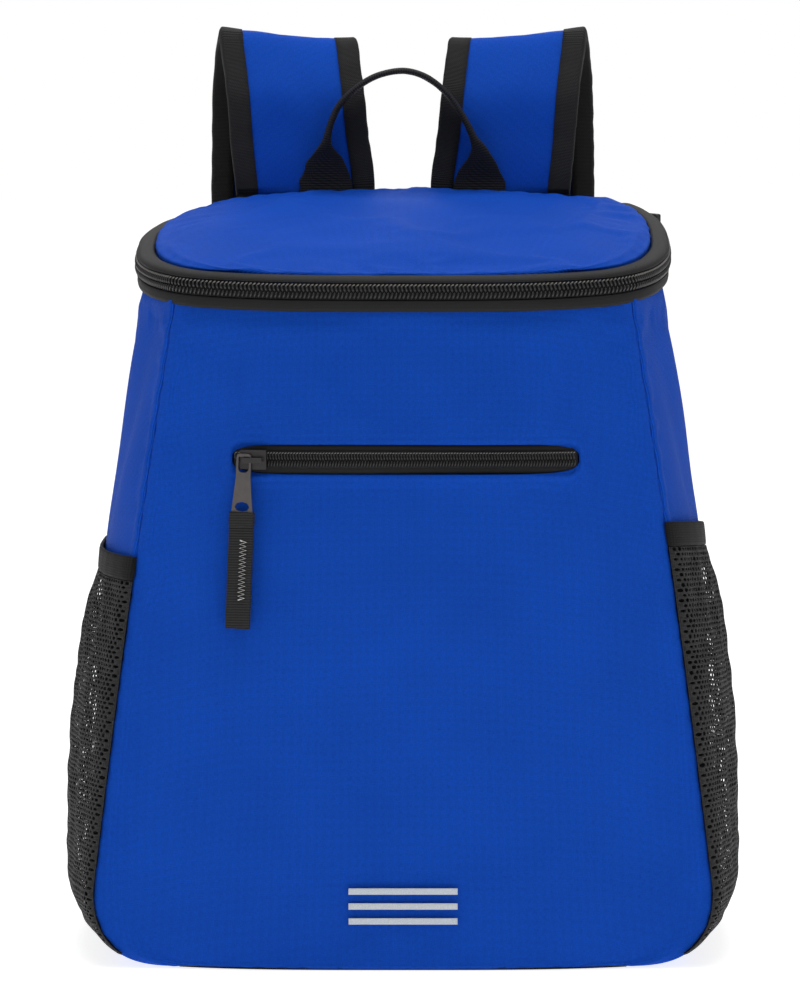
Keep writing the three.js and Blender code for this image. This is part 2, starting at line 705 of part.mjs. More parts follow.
function makeBar(index) {
  const z = BAR_LOWEST_Z + index * BAR_PITCH;
  return warpedSlab(6, 1, 1, (cu, v, w) => {
    const x = (cu - 0.5) * BAR_LENGTH;
    const height = z + (v - 0.5) * BAR_HEIGHT;
    return vec(x, frontFaceAt(x, height) - GAP - w * BAR_THICKNESS, height);
  });
}

// Mesh pockets

const hemTop = {
  left: (v) => lerp(HEM_LEFT_FRONT_Z, HEM_LEFT_BACK_Z, v),
  right: (v) => lerp(HEM_RIGHT_FRONT_Z, HEM_RIGHT_BACK_Z, v),
};
const clearOfSeam = (cv) => lerp(SEAM_MARGIN, 1 - SEAM_MARGIN, cv);

function makeMeshPocket(side, name) {
  return warpedSlab(NET_COLUMNS, NET_ROWS, 1, (cv, h, w) => {
    const v = clearOfSeam(cv);
    const top = hemTop[name](v) - HEM_HEIGHT - GAP;
    const p = outline(lerp(NET_START, 1, h), top, 0);
    const full = NET_FULLNESS * tableValue(NET_TABLE, 'along', 'fullness', h);
    const out = NET_SEAT + full * (1 - Math.abs(1 - 2 * v) ** NET_POWER) + w * NET;
    const y = lerp(seamY(p.z), BACK_Y, v);
    return vec(side * (p.x + bulgeAt(p.z) * sideShape(v) + out), y, p.z);
  });
}

function makeHem(side, name) {
  return warpedSlab(NET_COLUMNS, 1, 1, (cv, h, w) => {
    const v = clearOfSeam(cv);
    const z = hemTop[name](v) - HEM_HEIGHT * (1 - h);
    return gussetFace(side, z, v, NET_SEAT + w * HEM_THICKNESS);
  });
}

// Shoulder straps

const strapPlaces = STRAP_TABLE.map((row) => vec(
  STRAP_ROOT_X + row.across * STRAP_SPREAD,
  STRAP_Y + row.back * STRAP_LOOP,
  BACK_TOP_Z + GAP + row.up * STRAP_RISE - row.down * STRAP_DROP,
));
const strapCurve = new THREE.CatmullRomCurve3(strapPlaces, false, 'centripetal');

// A strap's column at a share of the stations
function strapColumn(column, t) {
  const rows = STRAP_TABLE.map((row, i) => ({ at: i / (STRAP_TABLE.length - 1), value: row[column] }));
  return tableValue(rows, 'at', 'value', t);
}

// Middle, width direction, outward direction, half width and pad share along the right strap
function strapFrame(length) {
  const t = strapCurve.getUtoTmapping(length);
  const run = strapCurve.getTangent(t);
  const lean = THREE.MathUtils.degToRad(strapColumn('lean', t));
  const width = vec(Math.cos(lean), 0, Math.sin(lean));
  width.addScaledVector(run, -width.dot(run)).normalize();
  return {
    middle: strapCurve.getPoint(t),
    run,
    width,
    out: width.clone().cross(run),
    half: STRAP_HALF * strapColumn('width', t),
    pad: strapColumn('pad', t),
  };
}

// Point of a strap: across from its middle line, out from the middle of its thickness
function strapPoint(side, length, across, out) {
  const f = strapFrame(length);
  const p = f.middle.addScaledVector(f.width, across).addScaledVector(f.out, out * f.pad);
  return vec(side * p.x, p.y, p.z);
}

const padHalf = STRAP_PAD / 2;
const boundHalf = padHalf - BINDING - PAD_GAP; // half thickness where the binding wraps the pad

function makeStrap(side) {
  return warpedSlab(5, STRAP_STEPS, 1, (column, length, w) => {
    const half = strapFrame(length).half;
    const edge = half - BINDING - PAD_GAP;
    const step = half - BINDING_WIDTH - PAD_GAP;
    const stops = [-edge, -step, -step + PAD_GAP, step - PAD_GAP, step, edge];
    const index = Math.round(column * 5);
    const bound = index < 2 || index > 3;
    const top = bound ? boundHalf : padHalf;
    const bottom = bound ? -boundHalf : -padHalf + STRAP_LINING + PAD_GAP;
    return strapPoint(side, length, stops[index], w < 0.5 ? top : bottom);
  });
}

function makeStrapLining(side) {
  return warpedSlab(1, STRAP_STEPS, 1, (column, length, w) => {
    const step = strapFrame(length).half - BINDING_WIDTH - 3 * PAD_GAP;
    return strapPoint(side, length, (2 * column - 1) * step, -padHalf + (1 - w) * STRAP_LINING);
  });
}

// Binding folded over one edge of a strap; edge is 1 for the outer and -1 for the inner edge
function makeBinding(side, edge) {
  return warpedSlab(3, STRAP_STEPS, 1, (column, length, w) => {
    const half = strapFrame(length).half;
    const index = edge > 0 ? Math.round(column * 3) : 3 - Math.round(column * 3);
    const atEdge = index === 1 || index === 2;
    const across = atEdge ? half - w * BINDING : half - BINDING_WIDTH;
    const out = (index < 2 ? 1 : -1) * (padHalf - w * BINDING);
    return strapPoint(side, length, edge * across, out);
  });
}

// Webbing swept along a path of points, with a width direction for each
function ribbon(path, widths, halfWidth, thickness) {
  const curve = new THREE.CatmullRomCurve3(path, false, 'centripetal');
  const steps = path.length - 1;
  return warpedSlab(1, steps, 1, (column, length, w) => {
    const index = Math.round(length * steps);
    const run = curve.getTangent(index / steps);
    const width = widths[index].clone();
    width.addScaledVector(run, -width.dot(run)).normalize();
    const out = width.clone().cross(run);
    return path[index].clone()
      .addScaledVector(width, (2 * column - 1) * halfWidth)
      .addScaledVector(out, (w - 0.5) * thickness);
  });
}

// Buckle and webbing hang from the pad's end, in its frame: down, across and out
const strapEnd = strapFrame(1);
const endPoint = (down, out) => strapEnd.middle.clone()
  .addScaledVector(strapEnd.run, down)
  .addScaledVector(strapEnd.out, out);

// Half turn of webbing round a bar: centre along the strap, radius and direction of the bend
function bend(centre, radius, direction) {
  const turns = 6;
  const points = [];
  for (let i = 0; i <= turns; i += 1) {
    const angle = (Math.PI * i) / turns;
    points.push(endPoint(centre + direction * radius * Math.sin(angle), radius * Math.cos(angle)));
  }
  return points;
}

const bendRadius = BUCKLE_THICKNESS / 2 + GAP + WEBBING / 2;
const firstBarEnd = BUCKLE_START + BUCKLE_BAR;
const buckleLength = 3 * BUCKLE_BAR + 2 * BUCKLE_SLOT;
const lastBarStart = BUCKLE_START + buckleLength - BUCKLE_BAR;

function makeBuckleLoop() {
  const path = [endPoint(GAP, bendRadius), endPoint(BUCKLE_START / 2, bendRadius)];
  path.push(...bend(firstBarEnd, bendRadius, 1));
  path.push(endPoint(BUCKLE_START / 2, -bendRadius), endPoint(GAP, -bendRadius));
  return ribbon(path, path.map(() => strapEnd.width), WEBBING_HALF, WEBBING);
}

function makeBuckle() {
  const half = BUCKLE_WIDTH / 2;
  const shape = new THREE.Shape();
  shape.moveTo(-half, 0);
  shape.lineTo(half, 0);
  shape.lineTo(half, buckleLength);
  shape.lineTo(-half, buckleLength);
  for (let i = 0; i < 2; i += 1) {
    const start = BUCKLE_BAR + i * (BUCKLE_BAR + BUCKLE_SLOT);
    const opening = WEBBING_HALF + 2 * GAP;
    const hole = new THREE.Path();
    hole.moveTo(-opening, start);
    hole.lineTo(-opening, start + BUCKLE_SLOT);
    hole.lineTo(opening, start + BUCKLE_SLOT);
    hole.lineTo(opening, start);
    shape.holes.push(hole);
  }
  const plate = new THREE.ExtrudeGeometry(shape, { depth: BUCKLE_THICKNESS, bevelEnabled: false });
  plate.translate(0, 0, -BUCKLE_THICKNESS / 2);
  const place = new THREE.Matrix4().makeBasis(strapEnd.width, strapEnd.run, strapEnd.out);
  place.setPosition(endPoint(BUCKLE_START, 0));
  return plate.applyMatrix4(place);
}

// From the loose end up round the last bar and down to where it is sewn to the back panel
function makeLowerWebbing() {
  const path = [];
  const turn = lastBarStart;
  const tailSteps = 3;
  for (let i = 0; i < tailSteps; i += 1) {
    path.push(endPoint(turn + TAIL_LENGTH * (1 - i / tailSteps), bendRadius));
  }
  path.push(...bend(turn, bendRadius, -1));
  const leave = endPoint(turn + 2 * BUCKLE_BAR, -bendRadius);
  const seat = BACK_Y + GAP + WEBBING / 2;
  const anchor = vec(ANCHOR_X, seat, ANCHOR_Z);
  const above = vec(lerp(ANCHOR_X, leave.x, 0.2), seat + 0.6, lerp(ANCHOR_Z, leave.z, 0.24));
  const free = new THREE.CatmullRomCurve3([leave, above, anchor], false, 'centripetal');
  path.push(...free.getPoints(7));
  const acrossAnchor = vec(1, 0, (ANCHOR_X - leave.x) / (leave.z - ANCHOR_Z));
  const bentPoints = path.length - 7;
  const widths = path.map((_, i) => {
    const share = clamp((i - bentPoints) / 3, 0, 1);
    return strapEnd.width.clone().lerp(acrossAnchor, share).normalize();
  });
  return ribbon(path, widths, WEBBING_HALF, WEBBING);
}

const mirrored = (geometry) => faceOutward(geometryWithIndex(geometry).scale(-1, 1, 1));

function geometryWithIndex(geometry) {
  const bare = new THREE.BufferGeometry();
  bare.setAttribute('position', geometry.attributes.position.clone());
  if (geometry.index) bare.setIndex(geometry.index.clone());
  return mergeVertices(bare, 1e-4);
}

const handed = (side, geometry) => (side > 0 ? geometry : mirrored(geometry));

// Carry handle: flat webbing at its feet, folded into a cord over the arch
function makeHandle() {
  const rootY = BACK_Y - BACK_WALL + HANDLE_LAYER / 2;
  const places = HANDLE_TABLE.map((row) => vec(
    row.across * HANDLE_HALF,
    rootY - HANDLE_LEAN * row.fold,
    BACK_TOP_Z + GAP + row.up * HANDLE_RISE,
  ));
  const curve = new THREE.CatmullRomCurve3(places, false, 'centripetal');
  const folds = HANDLE_TABLE.map((row, i) => ({ at: i / (HANDLE_TABLE.length - 1), fold: row.fold }));
  return warpedSlab(2, HANDLE_STEPS, 2, (cu, length, cw) => {
    const fold = clamp(tableValue(folds, 'at', 'fold', length), 0, 1);
    const run = curve.getTangent(length);
    const across = vec(run.z, 0, -run.x).normalize();
    const wide = lerp(HANDLE_WIDTH, HANDLE_CORD, fold ** 0.8) / 2;
    const deep = lerp(HANDLE_LAYER, HANDLE_FOLD, fold) / 2;
    const a = 2 * cu - 1;
    const b = 2 * cw - 1;
    const round = Math.abs(a) > 0.5 && Math.abs(b) > 0.5 ? 0.86 : 1;
    return curve.getPoint(length)
      .addScaledVector(across, a * wide * round)
      .add(vec(0, b * deep * round, 0));
  });
}

// The assembly

const cloth = (color) => new THREE.MeshStandardMaterial({ color, roughness: 0.85, metalness: 0 });
const looks = {
  blue: cloth(BLUE),
  lightBlue: cloth(LIGHT_BLUE),
  black: cloth(BLACK),
  plastic: new THREE.MeshStandardMaterial({ color: BLACK, roughness: 0.5, metalness: 0 }),
  metal: new THREE.MeshStandardMaterial({ color: METAL, roughness: 0.4, metalness: 0.9 }),
  silver: new THREE.MeshStandardMaterial({ color: SILVER, roughness: 0.45, metalness: 0.2 }),
};

const bag = new THREE.Group();

function addPiece(name, geometry, look, parent = bag) {
  const mesh = new THREE.Mesh(geometry, look.clone());
  mesh.name = name;
  parent.add(mesh);
}

addPiece('front_panel', makeFrontPanel(), looks.blue);
addPiece('base_panel', makeBasePanel(), looks.black);
addPiece('back_panel', makeBackPanel(), looks.black);
addPiece('lid', makeLid(), looks.lightBlue);
addPiece('body_zip_tape', makeLowerTape(), looks.black);
addPiece('main_zip_chain', makeMainChain(), looks.plastic);
addPiece('lid_zip_tape', makeUpperTape(), looks.black);
addPiece('main_zip_slider', makeMainSlider(), looks.metal);
addPiece('pocket_zip_tape', makePocketTape(), looks.black);
addPiece('pocket_zip_chain', makePocketChain(), looks.plastic);
for (let i = 0; i < BAR_COUNT; i += 1) {
  addPiece(`reflective_bar_${i + 1}`, makeBar(i), looks.silver);
}

// The slider lies on the front panel, turned with the cloth under it
const sliderGroup = new THREE.Group();
const reach = 2;
const alongZip = Math.atan2(
  frontFaceAt(SLIDER_X + reach, POCKET_Z) - frontFaceAt(SLIDER_X - reach, POCKET_Z), 2 * reach,
);
sliderGroup.position.set(SLIDER_X, frontFaceAt(SLIDER_X, POCKET_Z), POCKET_Z);
sliderGroup.rotation.z = alongZip;
addPiece('pocket_zip_slider', makePocketSlider(), looks.metal, sliderGroup);
addPiece('zip_puller', makePuller(), looks.metal, sliderGroup);
addPiece('pull_tab', makePullTab(), looks.black, sliderGroup);
bag.add(sliderGroup);

[['left', -1], ['right', 1]].forEach(([name, side]) => {
  addPiece(`side_gusset_${name}`, makeGusset(side), looks.blue);
  addPiece(`mesh_pocket_${name}`, makeMeshPocket(side, name), looks.black);
  addPiece(`pocket_hem_${name}`, makeHem(side, name), looks.black);
  addPiece(`shoulder_strap_${name}`, makeStrap(side), looks.blue);
  addPiece(`strap_lining_${name}`, makeStrapLining(side), looks.black);
  addPiece(`strap_binding_${name}_outer`, makeBinding(side, 1), looks.black);
  addPiece(`strap_binding_${name}_inner`, makeBinding(side, -1), looks.black);
  addPiece(`buckle_loop_${name}`, handed(side, makeBuckleLoop()), looks.black);
  addPiece(`buckle_${name}`, handed(side, makeBuckle()), looks.plastic);
  addPiece(`strap_webbing_${name}`, handed(side, makeLowerWebbing()), looks.black);
});
addPiece('carry_handle', makeHandle(), looks.black);

export default bag;
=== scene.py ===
"""Cloth, zips, nets and straps of a cooler backpack, built over its frame."""

import bmesh
import bpy
import numpy as np
from bpy.props import FloatProperty, FloatVectorProperty, IntProperty, PointerProperty
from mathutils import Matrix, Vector


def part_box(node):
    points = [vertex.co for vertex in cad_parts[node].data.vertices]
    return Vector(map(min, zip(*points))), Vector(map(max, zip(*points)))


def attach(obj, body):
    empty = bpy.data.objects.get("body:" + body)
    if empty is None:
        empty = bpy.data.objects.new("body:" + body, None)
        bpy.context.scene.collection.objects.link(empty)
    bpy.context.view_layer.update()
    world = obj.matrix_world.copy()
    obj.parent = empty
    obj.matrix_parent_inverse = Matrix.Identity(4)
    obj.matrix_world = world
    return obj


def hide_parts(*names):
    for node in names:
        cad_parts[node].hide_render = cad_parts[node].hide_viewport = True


bl_info = {
    "name": "Cooler Backpack",
    "version": (1, 0, 0),
    "blender": (4, 5, 0),
    "location": "View3D > Sidebar > Backpack",
    "description": "Builds the cloth, zips, nets and straps of a cooler backpack",
    "category": "Object",
}

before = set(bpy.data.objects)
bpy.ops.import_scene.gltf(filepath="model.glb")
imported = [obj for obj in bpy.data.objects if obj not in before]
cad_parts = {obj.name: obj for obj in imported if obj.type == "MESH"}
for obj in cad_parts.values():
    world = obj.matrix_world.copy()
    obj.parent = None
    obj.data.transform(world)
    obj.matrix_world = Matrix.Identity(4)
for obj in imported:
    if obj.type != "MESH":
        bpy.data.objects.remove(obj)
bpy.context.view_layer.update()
MM = 0.001

# Sizes of the bag's walls, in millimetres, as in its frame
GAP, MITRE_GAP, LID_GAP = 0.3, 0.45, 0.6
WALL, BACK_WALL = 5.0, 8.0
BASE_HALF, WIDEST_HALF, WIDEST_Z, TOP_HALF = 103.5, 143.5, 36.0, 105.0
SIDE_BOW, CORNER_POWER, CORNER_SHARE = 1.5, 2.5, 0.34
SEAM_BOTTOM_Y, SEAM_TOP_Y = 80.0, 75.0
CROWN_BOTTOM, CROWN_TOP, CROWN_MIDDLE, FRONT_POWER = 8.0, 18.4, 3.0, 3.5
BACK_Y, SIDE_BULGE, SIDE_POWER = 86.0, 17.0, 3.0
RIM_Z, RIM_SLOPE, RIM_LIFT, WALL_DROP = 312.4, 0.13, 3.4, 6.0
BACK_TOP_Z, BACK_TOP_POWER = 348.0, 6.0
LID_INSET, LID_LIFT, LID_CROWN, LID_BACK_SHARE, LID_FRONT_SPAN = 4.3, 7.0, 13.5, 0.8, 0.75
CHAIN_HEIGHT, CHAIN_SEAT, CHAIN_DEPTH, TAPE = 7.4, 0.9, 2.7, 1.2
LOWER_TAPE_HEIGHT, LOWER_TAPE_SEAT, TAPE_FLARE, UPPER_TAPE_PROUD = 5.2, 1.3, 0.5, 3.0
SLOT_LEFT, SLOT_RIGHT, SLOT_Z, SLOT_HALF, SLOT_POWER = -77.5, 80.0, 236.1, 6.8, 22.0
SLOT_TAPE_DEPTH, SLOT_CHAIN_HEIGHT, SLOT_CHAIN_DEPTH, SLOT_CHAIN_PROUD = 2.2, 7.3, 2.0, 1.3
BAR_LENGTH, BAR_HEIGHT, BAR_PITCH, BAR_LOWEST, BAR_THICKNESS = 50.0, 2.9, 7.0, 23.1, 0.6
NET_SEAT, NET_FULLNESS, NET_POWER, NET_START = 1.0, 10.2, 2.2, 0.14
HEM_HEIGHT, HEM_THICKNESS, FRONT_MARGIN, BACK_MARGIN = 11.0, 2.0, 0.001, 0.012
HEM_TOPS = {"left": (190.0, 187.0), "right": (206.0, 189.0)}
SIDES = {"left": -1.0, "right": 1.0}

# Sizes of the straps and the handle, in millimetres, as in the frame
STRAP_HALF, STRAP_PAD, STRAP_LINING, PAD_GAP = 34.0, 8.3, 2.5, 0.4
BINDING_WIDTH, BINDING = 11.0, 1.2
STRAP_ROOT_X, STRAP_SPREAD, STRAP_Y, STRAP_LOOP = 47.5, 25.0, 83.4, 40.0
STRAP_RISE, STRAP_DROP = 73.5, 215.0
WEBBING_HALF, WEBBING = 12.5, 1.4
BUCKLE_THICKNESS, BUCKLE_BAR, BUCKLE_SLOT, BUCKLE_START = 3.2, 3.5, 4.5, 6.0
TAIL_LENGTH, ANCHOR_X, ANCHOR_Z = 45.0, 116.0, 28.0
HANDLE_HALF, HANDLE_RISE, HANDLE_WIDTH = 37.4, 60.5, 25.4
HANDLE_CORD, HANDLE_FOLD, HANDLE_LEAN, HANDLE_LAYER = 3.1, 11.6, 6.0, 1.6

# Fullness of a gusset by height, and of a net along its outline
GUSSET_FULLNESS = ((0, 0.03, 0.12, 0.32, 0.5, 0.65, 1, 1.15), (0, 0.2, 0.4, 0.55, 0.82, 1, 1, 0.95))
NET_FULLNESS_ALONG = ((0, 0.2, 0.4, 0.62, 0.85, 1), (0.12, 0.62, 0.85, 1, 0.62, 0.1))

# Middle line of a strap: across, back, up, down, lean, width, pad, as in the frame
STRAP_TABLE = np.array([
    (0, 0, 0, 0, 0, 1, 0.62),
    (0, 0, 0.06, 0, 0, 1, 0.75),
    (0.1, 0.03, 0.34, 0, 1, 0.99, 1),
    (0.2, 0.08, 0.7, 0, 3, 0.98, 1),
    (0.36, 0.48, 1, 0, 6, 0.99, 0.92),
    (0.48, 0.93, 0.72, 0, 4, 1, 1),
    (0.52, 1, 0.3, 0, 2, 1, 1),
    (0.58, 1, 0, 0.2, 0, 0.97, 1),
    (0.76, 0.82, 0, 0.6, 0, 0.82, 1),
    (1, 0.52, 0, 1, 0, 0.62, 0.8),
])

# Net pockets: share that is thread and not hole, and how the front edge tucks round the seam
NET_SOLID_SHARE, NET_WIDE, NET_TALL = 0.64, 172.0, 200.0
TUCK_IN, TUCK_FORWARD, TUCK_SPAN = 2.6, 1.9, 0.009

# Cloth simulation: points along each side of the grid, and steps
SETTLE_POINTS, SETTLE_STEPS = 64, 20

# The puller lies along the front: the way out of it, the way along it, and its lean
PULLER_OUT, PULLER_ALONG, PULLER_LEAN = (-0.139, -0.990, 0.0), (0.990, -0.139, 0.0), 0.042

# Carry handle: across, up, and the way from flat webbing to a folded cord
HANDLE_TABLE = np.array([
    (-1, 0, 0), (-1, 0.13, 0.02), (-1, 0.29, 0.3), (-0.99, 0.43, 0.9), (-0.91, 0.62, 1),
    (-0.79, 0.755, 1), (-0.41, 0.94, 1), (-0.02, 1, 1), (0.25, 0.965, 1), (0.52, 0.85, 1),
    (0.75, 0.665, 1), (0.92, 0.46, 0.95), (0.99, 0.35, 0.66), (1, 0.16, 0.08), (1, 0, 0),
])


class BackpackCloth(bpy.types.PropertyGroup):
    """Colours and weave of the cloth."""

    blue: FloatVectorProperty(
        name="Cloth", description="Colour of the body cloth", subtype="COLOR", size=3,
        default=(0.0028, 0.045, 0.31), min=0, max=1)
    black: FloatVectorProperty(
        name="Lining cloth", description="Colour of the back and base", subtype="COLOR", size=3,
        default=(0.011, 0.011, 0.012), min=0, max=1)
    net: FloatVectorProperty(
        name="Net", description="Colour of the side pockets' net", subtype="COLOR", size=3,
        default=(0.015, 0.0145, 0.0155), min=0, max=1)
    webbing: FloatVectorProperty(
        name="Webbing", description="Colour of webbing and bindings", subtype="COLOR", size=3,
        default=(0.012, 0.0118, 0.0122), min=0, max=1)
    thread: FloatProperty(
        name="Thread", description="Width of one thread of the body cloth", unit="LENGTH",
        default=0.00052, min=0.0002, max=0.002, precision=5)
    undulation: FloatProperty(
        name="Undulation", description="Height of the broad waves in the padded walls",
        unit="LENGTH", default=0.0009, min=0, max=0.004, precision=5)
    pucker: FloatProperty(
        name="Pucker", description="Height of the small folds along the seams",
        unit="LENGTH", default=0.00035, min=0, max=0.002, precision=5)


class BackpackZips(bpy.types.PropertyGroup):
    """Teeth and metal of the zips."""

    main_pitch: FloatProperty(
        name="Main zip pitch", description="From one tooth of the main zip to the next",
        unit="LENGTH", default=0.00185, min=0.001, max=0.004, precision=5)
    pocket_pitch: FloatProperty(
        name="Pocket zip pitch", description="From one tooth of the front pocket's zip to the next",
        unit="LENGTH", default=0.00132, min=0.001, max=0.004, precision=5)
    tape: FloatVectorProperty(
        name="Tape", description="Colour of the zip tape", subtype="COLOR", size=3,
        default=(0.013, 0.0128, 0.0132), min=0, max=1)
    teeth: FloatVectorProperty(
        name="Teeth", description="Colour of the zip teeth", subtype="COLOR", size=3,
        default=(0.010, 0.010, 0.0105), min=0, max=1)
    metal: FloatVectorProperty(
        name="Metal", description="Colour of the slider and puller", subtype="COLOR", size=3,
        default=(0.11, 0.10, 0.10), min=0, max=1)


class BackpackNets(bpy.types.PropertyGroup):
    """Cells of the side pockets' net."""

    cell_width: FloatProperty(
        name="Cell width", description="From one hole to the next along a row",
        unit="LENGTH", default=0.0028, min=0.002, max=0.01, precision=5)
    cell_height: FloatProperty(
        name="Cell height", description="From one row of holes to the next",
        unit="LENGTH", default=0.0023, min=0.0015, max=0.01, precision=5)
    strand: FloatProperty(
        name="Strand", description="Thickness of the net's strands",
        unit="LENGTH", default=0.00034, min=0.0002, max=0.002, precision=5)
    gathers: IntProperty(
        name="Gathers", description="Folds that the hem gathers the net into", default=9, min=0, max=30)
    gather_height: FloatProperty(
        name="Gather height", description="Height of those folds under the hem",
        unit="LENGTH", default=0.0009, min=0, max=0.004, precision=5)


class BackpackStage(bpy.types.PropertyGroup):
    """Camera and light."""

    elevation: FloatProperty(
        name="Elevation", description="Height of the camera above the horizon, in radians",
        subtype="ANGLE", default=0.10472, min=0, max=1.5)
    distance: FloatProperty(
        name="Distance", description="From the camera to its target", unit="LENGTH",
        default=2.3, min=0.5, max=10)
    lens: FloatProperty(
        name="Lens", description="Focal length in millimetres for a 36 mm tall picture",
        default=175.14, min=20, max=400)


# Curves and tables


def lerp(a, b, t):
    """The value a share t of the way from a to b."""
    return a + (b - a) * t


def smooth_table(places, values, at):
    """Cubic through a table's rows; the slope at each row joins its two neighbours."""
    places, values = np.asarray(places, float), np.asarray(values, float)
    at = np.clip(np.asarray(at, float), places[0], places[-1])
    last = len(places) - 1
    i = np.clip(np.searchsorted(places, at, side="right") - 1, 0, last - 1)
    before = np.where(i > 0, i - 1, i + 1)
    after = np.where(i + 2 <= last, i + 2, i)
    half = (places[i + 1] - places[i]) / 2
    pull_before = half / (places[i] - places[before])
    pull_after = half / (places[after] - places[i + 1])
    p = (at - places[i]) / (places[i + 1] - places[i])
    pp, ppp = p * p, p * p * p
    return (values[before] * pull_before * (2 * pp - ppp - p)
            + values[i] * ((1 + pull_before) * ppp - (1.5 + 2 * pull_before) * pp
                           + (pull_before - 0.5) * p + 1)
            + values[i + 1] * ((1.5 + pull_after) * pp - (1 + pull_after) * ppp + 0.5 * p)
            + values[after] * pull_after * (ppp - pp))


def curve_through(points, t):
    """Centripetal curve through the points; t runs from 0 to 1, evenly from point to point."""
    points = np.asarray(points, float)
    ends = np.vstack([2 * points[0] - points[1], points, 2 * points[-1] - points[-2]])
    place = np.clip(np.asarray(t, float), 0, 1) * (len(points) - 1)
    i = np.minimum(place.astype(int), len(points) - 2)
    w = (place - i)[:, None]
    a, b, c, d = ends[i], ends[i + 1], ends[i + 2], ends[i + 3]
    ab, bc, cd = (np.linalg.norm(q - p, axis=1)[:, None] ** 0.5 for p, q in ((a, b), (b, c), (c, d)))
    start = ((b - a) / ab - (c - a) / (ab + bc) + (c - b) / bc) * bc
    end = ((c - b) / bc - (d - b) / (bc + cd) + (d - c) / cd) * bc
    return b + start * w + (3 * (c - b) - 2 * start - end) * w ** 2 + (2 * (b - c) + start + end) * w ** 3


def curve_run(points, t):
    """Unit direction of that curve: the step between two near points of it."""
    step = curve_through(points, np.clip(t + 1e-4, 0, 1)) - curve_through(points, np.clip(t - 1e-4, 0, 1))
    return step / np.linalg.norm(step, axis=1)[:, None]


def length_along(points):
    """Length of a path up to each of its points: the sum of its steps."""
    return np.concatenate([[0], np.cumsum(np.linalg.norm(np.diff(points, axis=0), axis=1))])


def even_places(points, share):
    """Places on the curve at even lengths: the lengths of 4000 small steps, read backwards."""
    t = np.linspace(0, 1, 4001)
    length = length_along(curve_through(points, t))
    return np.interp(np.asarray(share) * length[-1], length, t)


def soft_noise(a, b, size, seed):
    """Smooth waves between about -1 and 1: a sum of eight sines of random direction and length."""
    rng = np.random.default_rng(seed)
    total = np.zeros(np.broadcast(a, b).shape)
    for _ in range(8):
        turn, phase = rng.uniform(0, 2 * np.pi, 2)
        wave = 2 * np.pi / (size * rng.uniform(0.6, 1.7))
        total = total + np.sin(wave * (a * np.cos(turn) + b * np.sin(turn)) + phase)
    return total / 4


def spread(coarse, rows, columns):
    """Values of an even coarse grid at finer places between 0 and 1, by the table's cubic both ways."""
    weights = []
    for count, places in zip(coarse.shape, (rows, columns)):
        knots = np.linspace(0, 1, count)
        weights.append(np.stack([smooth_table(knots, one, places) for one in np.eye(count)], -1))
    return weights[0] @ coarse @ weights[1].T


def settle(surface, outward, held, pressure, growth, cap, rows, columns):
    """How far padded cloth rises from a surface: cloth a little too big, held at its seams, is blown
    out and left to wrinkle; the way along the normal is kept within the cap."""
    even = np.linspace(0, 1, SETTLE_POINTS)
    v, u = np.meshgrid(even, even, indexing="ij")
    grid = surface(u, v)
    normals = grid_normals(grid)
    facing = np.sign(np.mean(normals @ np.asarray(outward, float)))
    quads = grid_quads(*u.shape)
    mesh = bpy.data.meshes.new("settling")
    mesh.from_pydata((grid * MM).reshape(-1, 3), [], (quads if facing < 0 else quads[:, ::-1]).tolist())
    work = bpy.data.objects.new("settling", mesh)
    scene = bpy.context.scene
    scene.collection.objects.link(work)
    pins = work.vertex_groups.new(name="held")
    pins.add(np.flatnonzero(held(u, v, grid).ravel()).tolist(), 1.0, "REPLACE")
    cloth = work.modifiers.new("Cloth", "CLOTH")
    settings = cloth.settings
    settings.quality = 6
    settings.mass = 0.25
    settings.tension_stiffness = settings.compression_stiffness = 12
    settings.shear_stiffness = 4
    settings.bending_stiffness = 0.6
    settings.use_pressure = True
    settings.uniform_pressure_force = pressure
    settings.shrink_min = -growth
    settings.vertex_group_mass = "held"
    settings.effector_weights.gravity = 0
    cloth.collision_settings.use_collision = False
    for step in range(1, SETTLE_STEPS + 1):
        scene.frame_set(step)
    moved = np.empty(grid.size)
    evaluated = work.evaluated_get(bpy.context.evaluated_depsgraph_get())
    evaluated.data.vertices.foreach_get("co", moved)
    bpy.data.objects.remove(work)
    scene.frame_set(1)
    rise = np.sum((moved.reshape(grid.shape) / MM - grid) * normals, axis=-1) * facing
    return spread(np.clip(rise, -cap, cap), rows, columns)


def squared(wave, power):
    """A sine or cosine raised to a power with its sign kept, which squares off an oval."""
    return np.sign(wave) * np.abs(wave) ** power


def roll(distance, radius):
    """How far a rounded edge falls away: a quarter circle over the last radius of the cloth."""
    near = np.clip(1 - distance / radius, 0, 1)
    return radius * (1 - np.sqrt(1 - near ** 2))


# Outline and surfaces of the bag

FRONT_Y = SEAM_TOP_Y + CROWN_TOP
BODY_DEPTH = FRONT_Y + BACK_Y
FRONT_TOP = RIM_Z - WALL_DROP


def rim_z(x, y):
    """Middle of the main zip: a plane that rises to the back, more so on the right."""
    back = (y + FRONT_Y) / BODY_DEPTH
    return RIM_Z + (RIM_SLOPE * BODY_DEPTH + RIM_LIFT * x / TOP_HALF) * back


def seam_half(z):
    """Half width between the seams: a straight taper with a bow of half a sine."""
    share = (z - WIDEST_Z) / (FRONT_TOP - WIDEST_Z)
    return lerp(WIDEST_HALF, TOP_HALF, share) + SIDE_BOW * np.sin(np.pi * np.clip(share, 0, 1))


